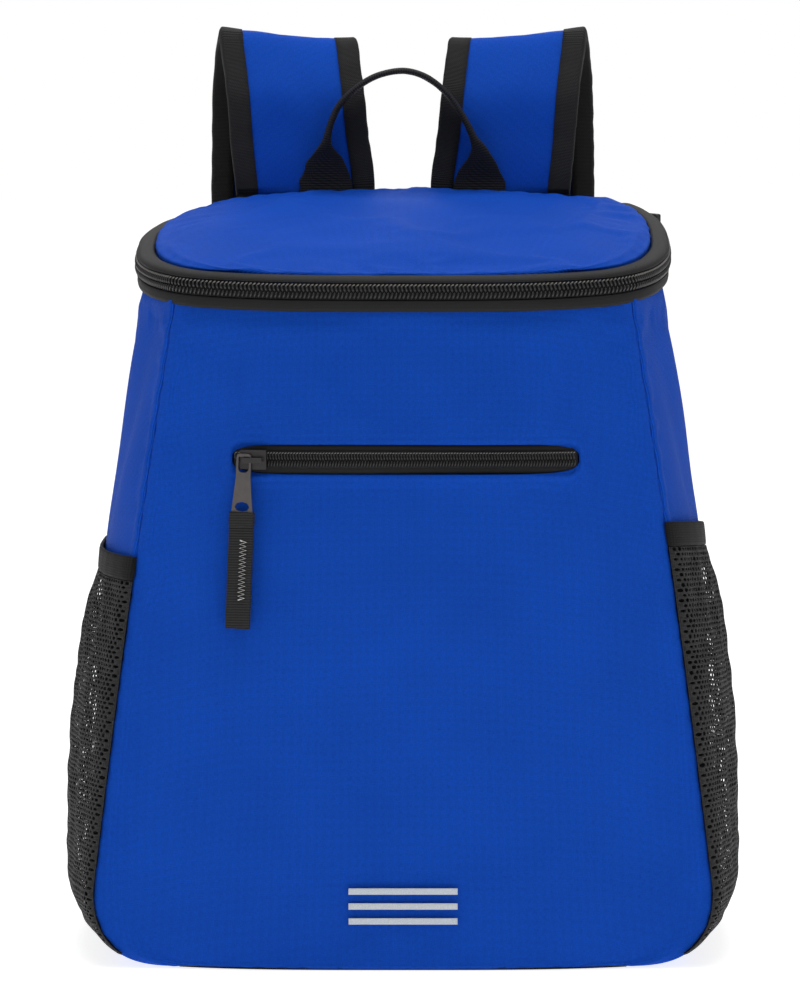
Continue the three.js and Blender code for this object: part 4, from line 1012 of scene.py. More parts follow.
def lid_grid(u, row, depth):
    """Lid: across between its two edges, with a crown that falls off to the edges."""
    corner = plan_offset(np.array(LID_FRONT_SPAN), LID_OFFSET)
    front_edge_y = plan_offset(np.array(0.0), LID_OFFSET)[1]
    right = lid_edge(row)
    front = plan_offset(u * LID_FRONT_SPAN, LID_OFFSET)
    x = right[..., 0] * front[..., 0] / corner[0]
    y = right[..., 1] + (front[..., 1] - corner[1]) * row ** 3
    share = np.clip((y - front_edge_y) / (LID_BACK_Y - front_edge_y), 0, 1)
    across = np.clip(1 - np.abs(u) ** 4, 0, 1) ** 0.6
    along = (1 - (1 - share) ** 3) * (1 - (1 - LID_BACK_SHARE) * share ** 4)
    slump = 1 - 0.42 * np.clip((x - 5) / 75, 0, 1) * share
    return np.stack([x, y, rim_z(x, y) + LID_LIFT + LID_CROWN * slump * across * along - depth * WALL], -1)


class BACKPACK_OT_lid(bpy.types.Operator):
    """Domed lid with small folds where its cloth is eased into the zip"""

    bl_idname = "backpack.lid"
    bl_label = "Lid"

    def execute(self, context):
        cloth = context.scene.backpack_cloth
        u, row = np.meshgrid(crowded((-1, -0.93, 12), (-0.93, 0.93, 90), (0.93, 1, 12)),
                             crowded((0, 0.04, 8), (0.04, 0.96, 80), (0.96, 1, 10)))
        outer, inner = lid_grid(u, row, 0.0), lid_grid(u, row, 1.0)
        x, y = outer[..., 0], outer[..., 1]
        half = lid_edge(row)[..., 0]
        to_side = half - np.abs(x)
        front_edge = lid_grid(u, np.ones_like(row), 0.0)[..., 1]
        to_front, to_back = y - front_edge, LID_BACK_Y - y
        to_edge = np.minimum(np.minimum(to_side, to_front), to_back)
        height = settle(lambda a, b: lid_grid(2 * a - 1, b, 0.0), (0, 0, 1), seams_held,
                        1.5, 0.006, 1.2, row[:, 0], (u[0] + 1) / 2)
        height += 1.3 * cloth.undulation / MM * soft_noise(x, y, 80, 23) * np.clip(to_edge / 25, 0, 1)
        rear = np.clip((y + 20) / 50, 0, 1)
        fan = np.arctan2(y - 10, np.abs(x) - 55)
        height += 0.45 * rear * np.exp(-((to_side - 14) / 14) ** 2) * np.sin(fan * 19 + 1.3 * np.sign(x))
        easing = np.sin((np.abs(x) * 0.35 + y) / 2.4 + 1.5 * soft_noise(x, y, 30, 29))
        height += 0.7 * cloth.pucker / MM * np.exp(-np.minimum(to_side, to_front) / 7) * easing
        height -= roll(np.minimum(to_side, to_front), 1.8) + roll(to_back, 2.0)
        outer = raise_grid(outer, height, (0, 0, 1))
        lid = shell("lid_cloth", outer, inner, np.stack([x, y * 1.02], -1))
        dress(lid, body_cloth(cloth), ["lid"])
        return {"FINISHED"}


class BACKPACK_OT_back_and_base(bpy.types.Operator):
    """Plain padded back wall and stiff base"""

    bl_idname = "backpack.back_and_base"
    bl_label = "Back and Base"

    def execute(self, context):
        cloth = context.scene.backpack_cloth
        u, t = np.meshgrid(crowded((-1, -0.95, 8), (-0.95, 0.95, 60), (0.95, 1, 8)),
                           crowded((0, CORNER_SHARE, 20), (CORNER_SHARE, 0.97, 70), (0.97, 1, 8)))
        side_top = rim_z(u * TOP_HALF, BACK_Y) - WALL_DROP
        top = lerp(side_top, BACK_TOP_Z, np.sqrt(1 - np.abs(u) ** BACK_TOP_POWER))
        grids = []
        for depth in (0.0, 1.0):
            x, z = outline(t, top, depth * WALL + MITRE_GAP)
            grids.append(np.stack([u * x, np.full_like(x, BACK_Y - depth * BACK_WALL), z], -1))
        x, z = grids[0][..., 0], grids[0][..., 2]
        to_edge = np.minimum(np.minimum((1 - np.abs(u)) * seam_half(z), z), grids[0][-1:, :, 2] - z)
        height = 0.5 * soft_noise(x, z, 70, 31) * np.clip(to_edge / 20, 0, 1) - roll(to_edge, 3.0)
        back = shell("back_panel_cloth", raise_grid(grids[0], height, (0, 1, 0)), grids[1],
                     np.stack([x, z], -1))
        dress(back, plain_black(cloth), ["back_panel"])
        u, v = np.meshgrid(np.linspace(-1, 1, 41), np.linspace(0, 1, 31))
        plates = []
        for depth in (0.0, 1.0):
            front = front_y(u, 0.0) + depth * WALL + MITRE_GAP
            y = lerp(front, BACK_Y - depth * BACK_WALL - MITRE_GAP, v)
            plates.append(np.stack([u * (BASE_HALF - MITRE_GAP), y, np.full_like(u, depth * WALL)], -1))
        base = shell("base_panel_cloth", plates[0], plates[1], plates[0][..., :2])
        dress(base, plain_black(cloth), ["base_panel"])
        return {"FINISHED"}


# Zips


def rim_tube(name, section, steps=260):
    """A closed section of offsets and heights carried along the rim."""
    along, length = even_rim(steps)
    offset, height = np.asarray(section, float).T
    ripple = 0.18 * np.sin(length / 7.3) * np.sin(length / 31.0)
    rings = rim_point(along[:, None] + 0 * offset[None], offset[None] + ripple[:, None], height[None])
    return tube(name, rings, ring_uv(rings, length))


def tooth_rows(name, origins, run, out, half, pitch):
    """Nylon coil: on each side of its middle a row of slanted loops, higher near the middle."""
    up = np.cross(out, run)
    radius = 0.28 * pitch
    middle, reach = -0.09 * half, 0.80 * half
    pieces = []
    for sign in (1.0, -1.0):
        share = np.array([0.0, 0.18, 0.42, 0.68, 0.9, 1.0])
        path = np.stack([-0.5 * pitch * share, middle + sign * (0.2 + share * (reach - 0.2)),
                         np.array([0.35, 1.0, 1.15, 0.95, 0.55, 0.1])], -1)
        shape, quads = bead(path, radius * np.array([0.55, 0.95, 1, 0.95, 0.9, 0.5]))
        place = origins + run * (0.5 * pitch if sign < 0 else 0.0)
        axes = np.stack([run, up, out], axis=1)
        pieces.append(repeated(f"{name}_{'upper' if sign > 0 else 'lower'}", shape, quads, place, axes))
    return pieces


def stitch_row(name, origins, run, out, height, length, radius, lift):
    """A row of short slanted thread stitches, each a bead that dips at its ends."""
    share = np.array([-0.5, -0.3, 0.3, 0.5])
    path = np.stack([share * length, height + share * length * 0.55,
                     lift + np.array([-0.6, 0.3, 0.3, -0.6]) * radius], -1)
    shape, quads = bead(path, radius * np.array([0.6, 1, 1, 0.6]))
    return repeated(name, shape, quads, origins, np.stack([run, np.cross(out, run), out], axis=1))


class BACKPACK_OT_main_zip(bpy.types.Operator):
    """Main zip: two tapes, its coil and a plain slider behind"""

    bl_idname = "backpack.main_zip"
    bl_label = "Main Zip"

    def execute(self, context):
        zips = context.scene.backpack_zips
        foot = CHAIN_HEIGHT / 2 + GAP
        low = -foot - LOWER_TAPE_HEIGHT
        seat, flare = LOWER_TAPE_SEAT, TAPE_FLARE
        lower = [(seat + flare, -foot), (seat + 0.1, low + 0.3), (seat + 0.1, low),
                 (seat + 0.5, low - 0.1), (seat + TAPE, low + 0.2), (seat + TAPE + 0.25, low + 1.6),
                 (seat + TAPE + 0.1, low + 2.4), (seat + flare + TAPE, -foot - 0.4),
                 (seat + flare + TAPE - 0.4, -foot)]
        tape = rim_tube("body_zip_tape_cloth", lower)
        dress(tape, twill_tape(zips), ["body_zip_tape"])
        angle = np.linspace(0, np.pi / 2, 9)
        reach = UPPER_TAPE_PROUD + LID_INSET
        bands = []
        for inward in (0.0, TAPE):
            bands.append(np.vstack([
                np.stack([-LID_INSET + (reach - inward) * np.cos(angle) ** 0.75,
                          foot + (LID_LIFT - foot - inward) * np.sin(angle) ** 0.85], -1),
                [(-LID_INSET - 1.1, LID_LIFT - 0.7 - inward)]]))
        upper = rim_tube("lid_zip_tape_cloth", np.vstack([bands[0], bands[1][::-1]]))
        dress(upper, twill_tape(zips), ["lid_zip_tape"])
        core = CHAIN_HEIGHT / 2
        back, face = CHAIN_SEAT, CHAIN_SEAT + CHAIN_DEPTH - 1.25
        bed = rim_tube("main_zip_bed", [(back, -core), (face, -core), (face, core), (back, core)])
        dress(bed, twill_tape(zips), ["main_zip_chain"])
        pitch = zips.main_pitch / MM
        along, _ = even_rim(pitch)
        along = along[1:-1]
        here = rim_point(along, np.full_like(along, face), np.zeros_like(along))
        run = unit(np.gradient(here, axis=0))
        flat = plan_offset(along, 1.0) - plan_offset(along, 0.0)
        out = unit(np.concatenate([flat, np.zeros((len(flat), 1))], axis=1))
        run = unit(run - out * np.sum(run * out, axis=1)[:, None])
        teeth = hard_material("Zip teeth", zips.teeth, 0.32, specular=0.6)
        for row in tooth_rows("main_zip_teeth", here, run, out, core, pitch):
            dress(row, teeth)
        thread = stitch_row("main_zip_thread", here, run, out, core - 0.75, pitch * 0.62, 0.33, 0.75)
        dress(thread, pale_stitch())
        slider = frame_copy("main_zip_slider", "main_zip_slider_body", 0.0008)
        dark = hard_material("Dark enamel", tuple(0.28 * channel for channel in zips.metal), 0.3, 0.4)
        dress(slider, dark, ["main_zip_slider"])
        return {"FINISHED"}


def slot_strip(name, end_share, half, near, far, steps=120):
    """A strip in the pocket's slot: it follows the front face, between two distances from it."""
    u, v = np.meshgrid(np.linspace(-end_share, end_share, steps), np.linspace(-1, 1, 9))
    x = (SLOT_LEFT + SLOT_RIGHT) / 2 + u * (SLOT_RIGHT - SLOT_LEFT) / 2
    z = SLOT_Z + v * half(u)
    grids = [np.stack([x, front_at(x, SLOT_Z) - out, z], -1) for out in (far, near)]
    return shell(name, grids[0], grids[1], np.stack([z, x], -1))


class BACKPACK_OT_pocket_zip(bpy.types.Operator):
    """Front pocket's zip: tape, coil and thread"""

    bl_idname = "backpack.pocket_zip"
    bl_label = "Pocket Zip"

    def execute(self, context):
        zips = context.scene.backpack_zips
        half_length = (SLOT_RIGHT - SLOT_LEFT) / 2
        ends = 1 - 2 * GAP / half_length
        tape = slot_strip("pocket_zip_tape_cloth", ends,
                          lambda u: SLOT_HALF * np.sqrt(1 - np.abs(u) ** SLOT_POWER) - GAP,
                          -SLOT_TAPE_DEPTH, -SLOT_TAPE_DEPTH + TAPE)
        dress(tape, twill_tape(zips), ["pocket_zip_tape"])
        core = SLOT_CHAIN_HEIGHT / 2
        fits = (1 - ((core + GAP) / SLOT_HALF) ** 2) ** (1 / SLOT_POWER)
        face = SLOT_CHAIN_PROUD - 1.15
        bed = slot_strip("pocket_zip_bed", fits, lambda u: core + 0 * u,
                         SLOT_CHAIN_PROUD - SLOT_CHAIN_DEPTH, face)
        dress(bed, twill_tape(zips), ["pocket_zip_chain"])
        pitch = zips.pocket_pitch / MM
        x = np.arange(-fits * half_length + 0.4, fits * half_length - 0.8, pitch)
        x = x + (SLOT_LEFT + SLOT_RIGHT) / 2
        here = np.stack([x, front_at(x, SLOT_Z) - face, np.full_like(x, SLOT_Z)], -1)
        run = unit(np.gradient(here, axis=0))
        out = unit(np.cross(run, [0.0, 0.0, 1.0]))
        teeth = hard_material("Zip teeth", zips.teeth, 0.32, specular=0.6)
        for row in tooth_rows("pocket_zip_teeth", here, run, out, core, pitch):
            dress(row, teeth)
        thread = stitch_row("pocket_zip_thread", here, run, out, core - 0.65, pitch * 0.62, 0.26, 0.7)
        dress(thread, pale_stitch())
        return {"FINISHED"}


class BACKPACK_OT_puller(bpy.types.Operator):
    """Slider, puller and the sewn webbing tab that hangs from it"""

    bl_idname = "backpack.puller"
    bl_label = "Puller"

    def execute(self, context):
        zips, cloth = context.scene.backpack_zips, context.scene.backpack_cloth
        metal = hard_material("Gunmetal", zips.metal, 0.38, 0.85)
        slider = frame_copy("pocket_zip_slider", "pocket_zip_slider_body", 0.00035, 3)
        dark = hard_material("Dark enamel", tuple(0.28 * channel for channel in zips.metal), 0.3, 0.4)
        dress(slider, dark, ["pocket_zip_slider"])
        plate = frame_copy("zip_puller", "zip_puller_plate", 0.00035, 3)
        dress(plate, metal, ["zip_puller"], body="puller")
        tab = frame_copy("pull_tab", "pull_tab_webbing", 0.0005, 3)
        low, high = (np.array(corner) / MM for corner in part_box("pull_tab"))
        dress(tab, tab_webbing(cloth), ["pull_tab"], body="puller")
        middle = (low + high) / 2
        start = middle + np.array(PULLER_OUT) * 1.55
        places = np.arange(31)
        z = lerp(high[2] - 13.0, low[2] + 13.5, places / 30)
        sway = np.where(places % 2 == 0, -1.5, 1.5) + 1.2 + (z - start[2]) * PULLER_LEAN
        path = start + np.array(PULLER_ALONG) * sway[:, None]
        path[:, 2] = z
        rings = swept_circle(path, 0.36, 8)
        thread = tube("tab_stitch", rings, ring_uv(rings, np.arange(len(rings)) * 1.0))
        pale = woven_material("Pale thread", (0.42, 0.41, 0.40), 0.0004, 0.0006, 0.00008)
        dress(thread, pale, body="puller")
        return {"FINISHED"}


def tab_webbing(cloth):
    """Webbing with ribs across it, read from height in the piece's own space."""
    name = "Ribbed tab"
    if name in bpy.data.materials:
        return bpy.data.materials[name]
    finish, tree, shader = new_material(name, 0.62, 0.03, specular=0.2)
    place = tree.nodes.new("ShaderNodeTexCoord")
    split = tree.nodes.new("ShaderNodeSeparateXYZ")
    tree.links.new(place.outputs["Object"], split.inputs[0])
    ribs = []
    for axis, pitch in ((2, 0.0012), (0, 0.0008)):
        turns = calc(tree, "MULTIPLY", split.outputs[axis], np.pi / pitch)
        ribs.append(calc(tree, "ABSOLUTE", calc(tree, "SINE", turns)))
    height = calc(tree, "MULTIPLY_ADD", ribs[1], 0.2, ribs[0])
    # Painted highlight and painted shade: the colour is lighter on the ribs and darker in the grooves
    # between them.
    colours = blend_colours(tree, height, shaded(cloth.webbing, 0.2), shaded(cloth.webbing, 2.0))
    tree.links.new(colours, shader.inputs["Base Color"])
    add_bump(tree, shader, height, 0.0003)
    return finish


def swept_circle(path, radius, sides):
    """Circles of one size across a path, each square to the path there."""
    path = np.asarray(path, float)
    run = unit(np.gradient(path, axis=0))
    across = unit(np.cross(run, [0.13, 0.97, 0.2]))
    up = np.cross(run, across)
    turn = np.linspace(0, 2 * np.pi, sides, endpoint=False)
    return path[:, None] + radius * (np.cos(turn)[None, :, None] * across[:, None]
                                     + np.sin(turn)[None, :, None] * up[:, None])


class BACKPACK_OT_reflective_bars(bpy.types.Operator):
    """Reflective bars pressed on the front, low down"""

    bl_idname = "backpack.reflective_bars"
    bl_label = "Reflective Bars"

    def execute(self, context):
        film = reflective_film()
        for index in range(3):
            a, b = np.meshgrid(np.linspace(-0.5, 0.5, 61), np.linspace(-0.5, 0.5, 7))
            x, z = a * BAR_LENGTH, BAR_LOWEST + index * BAR_PITCH + b * BAR_HEIGHT
            wave = 0.05 * np.sin(x / 1.7)
            grids = [np.stack([x, front_at(x, z) - out + wave, z], -1)
                     for out in (GAP + BAR_THICKNESS, GAP - 0.1)]
            bar = shell(f"reflective_bar_film_{index + 1}", grids[0], grids[1], np.stack([x, z], -1))
            dress(bar, film, [f"reflective_bar_{index + 1}"])
        return {"FINISHED"}


def reflective_film():
    """Glass-bead film: pale grey, finely grained, with the cloth's weave showing faintly as painted
    highlight on the thread tops and painted shade between.
    """
    finish, tree, shader = new_material("Reflective film", 0.42, metallic=0.25)
    place = tree.nodes.new("ShaderNodeTexCoord")
    beads = tree.nodes.new("ShaderNodeTexVoronoi")
    beads.inputs["Scale"].default_value = 2600.0
    tree.links.new(place.outputs["Object"], beads.inputs["Vector"])
    weave = use_effect(tree, weave_effect(), Vector=place.outputs["UV"], Thread_across=0.0006,
                       Thread_along=0.0006, Unevenness=0.3)
    # Colour: the film's own bead grain, plus the weave's height as painted highlight and painted shade.
    mix = calc(tree, "MULTIPLY_ADD", weave.outputs["Height"], 0.5, beads.outputs["Distance"])
    colours = blend_colours(tree, mix, (0.36, 0.40, 0.44, 1), (0.58, 0.62, 0.66, 1))
    tree.links.new(colours, shader.inputs["Base Color"])
    add_bump(tree, shader, mix, 0.00005)
    return finish


# Side pockets


def hem_top(name, v):
    return lerp(*HEM_TOPS[name], v)


def net_grid(name, across, up, nets):
    """Net: over the gusset, full in its middle, and gathered into folds under the hem."""
    side = SIDES[name]
    v = lerp(FRONT_MARGIN, 1 - BACK_MARGIN, across)
    top = hem_top(name, v) - HEM_HEIGHT - GAP
    x, z = outline(lerp(NET_START, 1, up), top, 0.0)
    full = NET_FULLNESS * smooth_table(*NET_FULLNESS_ALONG, up)
    wrap = np.exp(-across / TUCK_SPAN)
    out = NET_SEAT + 0.6 - TUCK_IN * wrap + full * (1 - np.abs(1 - 2 * v) ** NET_POWER)
    edge = 1 - np.abs(1 - 2 * across) ** 6
    phase = 2 * np.pi * nets.gathers * (across + 0.012 * np.sin(9 * up))
    fold = nets.gather_height / MM * (0.35 + 0.65 * np.exp(-(1 - up) / 0.22)) * np.sin(phase)
    broad = 0.9 * soft_noise(across * 160, up * 190, 45, 41)
    slack = broad + 0.5 * soft_noise(across * 160, up * 190, 18, 43)
    ends = np.clip(up / 0.06, 0, 1) * np.clip((1 - up) / 0.03, 0.35, 1)
    out = out + (np.maximum(fold, -0.8) + slack * np.clip(full / 4, 0, 1)) * edge * ends
    y = lerp(seam_y(z), BACK_Y, v) - TUCK_FORWARD * wrap
    return np.stack([side * (x + bulge(z) * side_shape(v) + out), y, z], -1)


def net_mesh(name, nets):
    """Rows of cells offset by half a cell; each cell is a ring of six quads round a hole."""
    wide = int(round(NET_WIDE * MM / nets.cell_width))
    tall = int(round(NET_TALL * MM / nets.cell_height))
    columns = 2 * wide + 1
    node = np.arange((tall + 1) * columns).reshape(tall + 1, columns)
    across, up = np.meshgrid(np.linspace(0, 1, columns), np.linspace(0, 1, tall + 1))
    cells, centres, plain = [], [], []
    for parity in (0, 1):
        rows = np.arange(parity, tall, 2)
        starts = np.arange(parity, columns - 2, 2)
        row, start = (grid.ravel() for grid in np.meshgrid(rows, starts, indexing="ij"))
        lower = [node[row, start + step] for step in (0, 1, 2)]
        upper = [node[row + 1, start + step] for step in (2, 1, 0)]
        cells.append(np.stack(lower + upper, -1))
        centres.append(np.stack([(start + 1) / (columns - 1), (row + 0.5) / tall], -1))
        if parity:
            for start in (0, columns - 2):
                plain.append(np.stack([node[rows, start], node[rows, start + 1],
                                       node[rows + 1, start + 1], node[rows + 1, start]], -1))
    cells, centres, plain = np.vstack(cells), np.vstack(centres), np.vstack(plain)
    hole = np.array([(-0.37, -0.24), (0, -0.43), (0.37, -0.24), (0.37, 0.24), (0, 0.43), (-0.37, 0.24)])
    rng = np.random.default_rng(7)
    opening = rng.uniform(0.6, 1.08, (len(centres), 1, 2))
    places = centres[:, None] + hole[None] * [1 / wide, 1 / tall] * opening
    flat = np.vstack([np.stack([across.ravel(), up.ravel()], -1), places.reshape(-1, 2)])
    points = net_grid(name, flat[:, 0], flat[:, 1], nets)
    holes = node.size + np.arange(len(cells) * 6).reshape(-1, 6)
    ring = np.stack([cells, np.roll(cells, -1, axis=1), np.roll(holes, -1, axis=1), holes], -1)
    quads = np.vstack([ring.reshape(-1, 4), plain])
    corners = quads.ravel()
    piece = build_mesh(f"mesh_pocket_net_{name}", points, corners, np.full(len(quads), 4),
                       (flat * [NET_WIDE, NET_TALL])[corners])
    wall = piece.modifiers.new("Strand", "SOLIDIFY")
    wall.thickness = nets.strand
    wall.offset = 0.0
    return piece


class BACKPACK_OT_mesh_pockets(bpy.types.Operator):
    """Net side pockets, each gathered into a ribbed hem"""

    bl_idname = "backpack.mesh_pockets"
    bl_label = "Mesh Pockets"

    def execute(self, context):
        cloth, nets = context.scene.backpack_cloth, context.scene.backpack_nets
        knit = woven_material("Net", cloth.net, 0.0005, 0.0007, 0.0002, light=2.2, dark=0.25,
                              uneven=0.8, specular=0.2)
        for name, side in SIDES.items():
            net = net_mesh(name, nets)
            dress(net, knit, [f"mesh_pocket_{name}"])
            angle = np.linspace(0, 2 * np.pi, 20, endpoint=False)
            a = squared(np.cos(angle), 0.35)
            b = squared(np.sin(angle), 0.5)
            across = np.linspace(0, 1, 120)
            v = lerp(FRONT_MARGIN, 1 - BACK_MARGIN, across)[:, None]
            scallop = 0.08 * np.sin(across * 95)[:, None] * (1 - np.abs(1 - 2 * across) ** 8)[:, None]
            wrap = np.exp(-across / TUCK_SPAN)[:, None]
            z = hem_top(name, v) - HEM_HEIGHT / 2 + a[None] * HEM_HEIGHT / 2
            out = NET_SEAT + HEM_THICKNESS / 2 + b[None] * HEM_THICKNESS / 2 + scallop * (b[None] > 0)
            rings = gusset_face(side, z + 0 * v, v + 0 * z, out - TUCK_IN * wrap)
            rings = rings - [0, 1, 0] * (TUCK_FORWARD * wrap)[..., None]
            hem = tube(f"pocket_hem_band_{name}", rings, ring_uv(rings, across * 165))
            dress(hem, hem_tape(cloth), [f"pocket_hem_{name}"])
        return {"FINISHED"}


def hem_tape(cloth):
    return woven_material("Hem tape", cloth.webbing, 0.0011, 0.0007, 0.0002, light=1.4, dark=0.3,
                          specular=0.1)


# Straps


def strap_points():
    across, back, up, down = STRAP_TABLE[:, :4].T
    return np.stack([STRAP_ROOT_X + across * STRAP_SPREAD, STRAP_Y + back * STRAP_LOOP,
                     BACK_TOP_Z + GAP + up * STRAP_RISE - down * STRAP_DROP], -1)


def strap_frame(length):
    """Middle, run, width and outward direction, half width and pad share at lengths of a strap."""
    points = strap_points()
    t = even_places(points, np.asarray(length, float))
    rows = np.linspace(0, 1, len(STRAP_TABLE))
    lean = np.radians(smooth_table(rows, STRAP_TABLE[:, 4], t))
    run = curve_run(points, t)
    width = np.stack([np.cos(lean), 0 * lean, np.sin(lean)], -1)
    width = unit(width - run * np.sum(width * run, axis=1)[:, None])
    return {
        "middle": curve_through(points, t), "run": run, "width": width, "out": np.cross(width, run),
        "half": STRAP_HALF * smooth_table(rows, STRAP_TABLE[:, 5], t),
        "pad": smooth_table(rows, STRAP_TABLE[:, 6], t),
    }


def strap_rings(side, places, across, out):
    """Section of a strap at each length: across its width, and out from its middle by the pad share."""
    rings = (places["middle"][:, None] + places["width"][:, None] * across[..., None]
             + places["out"][:, None] * (out * places["pad"][:, None])[..., None])
    return rings * np.array([side, 1, 1])


class BACKPACK_OT_shoulder_straps(bpy.types.Operator):
    """Padded straps: blue cover, mesh lining and ribbed binding on both edges"""

    bl_idname = "backpack.shoulder_straps"
    bl_label = "Shoulder Straps"

    def execute(self, context):
        cloth = context.scene.backpack_cloth
        length = np.linspace(0, 1, 181)
        places = strap_frame(length)
        metres = length * 480.0
        pad = STRAP_PAD / 2
        bound = pad - BINDING - PAD_GAP
        for name, side in SIDES.items():
            half = places["half"][:, None]
            edge, step = half - BINDING - PAD_GAP, half - BINDING_WIDTH - PAD_GAP
            share = np.linspace(-1, 1, 15)[None]
            crown = pad - 0.7 * np.abs(share) ** 4 + 0 * edge
            crown = crown + 0.35 * soft_noise(metres[:, None], share * 30, 38, 51 + int(side))
            floor = -pad + STRAP_LINING + PAD_GAP
            across = np.concatenate([-edge, share * step, edge, edge, step, -step, -edge], axis=1)
            out = np.concatenate([0 * edge + bound * 0.6, crown, 0 * edge + bound * 0.6, 0 * edge - bound,
                                  0 * edge - bound, 0 * edge - bound, 0 * edge - bound], axis=1)
            inner = np.concatenate([step - PAD_GAP, -step + PAD_GAP], axis=1)
            across = np.concatenate([across[:, :18], step, inner, -step, -edge], axis=1)
            out = np.concatenate([out[:, :18], 0 * step - bound, 0 * inner + floor, 0 * step - bound,
                                  0 * step - bound], axis=1)
            rings = strap_rings(side, places, across, out)
            cover = tube(f"strap_cover_{name}", rings, ring_uv(rings, metres))
            dress(cover, body_cloth(cloth), [f"shoulder_strap_{name}"])
            step = half - BINDING_WIDTH - 3 * PAD_GAP
            share = np.linspace(-1, 1, 9)[None]
            across = np.concatenate([share * step, share[:, ::-1] * step], axis=1)
            lower = -pad + 0.8 * np.abs(share) ** 4
            out = np.concatenate([-pad + STRAP_LINING + 0 * share, lower[:, ::-1]], axis=1) + 0 * half
            rings = strap_rings(side, places, across, out)
            lining = tube(f"strap_lining_mesh_{name}", rings, ring_uv(rings, metres))
            dress(lining, air_mesh(cloth), [f"strap_lining_{name}"])
            for where, sign in (("outer", 1.0), ("inner", -1.0)):
                self.bind(cloth, name, side, where, sign, places, metres)
        return {"FINISHED"}

    def bind(self, cloth, name, side, where, sign, places, metres):
        """Binding folded over an edge: a band over the top, round the edge and under."""
        half = places["half"][:, None]
        pad = STRAP_PAD / 2
        wave = 0.22 * soft_noise(metres, 0 * metres, 14, 61 + int(2 * sign + side))[:, None]
        ripple = 0.12 * np.sin(metres / 2.3 + 2 * wave[:, 0])[:, None]
        turn = np.linspace(np.pi / 2, -np.pi / 2, 9)[None]
        loops = []
        for inward in (0.0, BINDING):
            thick = pad - inward
            far = half - inward + wave - 1.6
            bend = far + (1.6 - 0.2 * inward) * np.cos(turn)
            flat = half - BINDING_WIDTH + np.array([[0.0, 0.35, 0.7]]) * (BINDING_WIDTH - 2)
            across = np.concatenate([flat, bend, flat[:, ::-1]], axis=1)
            over = thick * squared(np.sin(turn), 0.5) + 0 * half
            top = np.full(flat.shape, thick) + ripple * (inward == 0)
            out = np.concatenate([top, over, -top], axis=1)
            loops.append((across, out))
        across = np.concatenate([loops[0][0], loops[1][0][:, ::-1]], axis=1)
        out = np.concatenate([loops[0][1], loops[1][1][:, ::-1]], axis=1)
        rings = strap_rings(side, places, sign * across, out)
        band = tube(f"strap_binding_band_{name}_{where}", rings, ring_uv(rings, metres))
        dress(band, ribbed_tape(cloth), [f"strap_binding_{name}_{where}"])


def air_mesh(cloth):
    """Spacer mesh: a close pattern of small round holes in the bump, and in the colour as painted shade,
    darker in each hole and lighter between.
    """
    name = "Air mesh"
    if name in bpy.data.materials:
        return bpy.data.materials[name]
    finish, tree, shader = new_material(name, 0.7, 0.03, specular=0.15)
    place = tree.nodes.new("ShaderNodeTexCoord")
    cells = tree.nodes.new("ShaderNodeTexVoronoi")
    cells.inputs["Scale"].default_value = 620.0
    cells.inputs["Randomness"].default_value = 0.25
    tree.links.new(place.outputs["UV"], cells.inputs["Vector"])
    # Painted shade: the colour is darkest in the middle of each hole and lighter towards the strands
    # between.
    colours = blend_colours(tree, cells.outputs["Distance"], shaded(cloth.black, 0.35),
                            shaded(cloth.black, 2.2))
    tree.links.new(colours, shader.inputs["Base Color"])
    add_bump(tree, shader, cells.outputs["Distance"], 0.0005)
    return finish


def webbing_tube(name, path, width, half, thickness, side):
    """Flat webbing along a path: a rounded oblong section, square to the path."""
    path = np.asarray(path, float)
    run = unit(np.gradient(path, axis=0))
    width = unit(width - run * np.sum(width * run, axis=1)[:, None])
    out = np.cross(width, run)
    a = np.array([-1, -0.5, 0, 0.5, 1, 1, 0.5, 0, -0.5, -1]) * half
    b = np.array([0.7, 1, 1, 1, 0.7, -0.7, -1, -1, -1, -0.7]) * thickness / 2
    rings = path[:, None] + a[None, :, None] * width[:, None] + b[None, :, None] * out[:, None]
    rings = rings * np.array([side, 1, 1])
    return tube(name, rings, ring_uv(rings, length_along(path)))


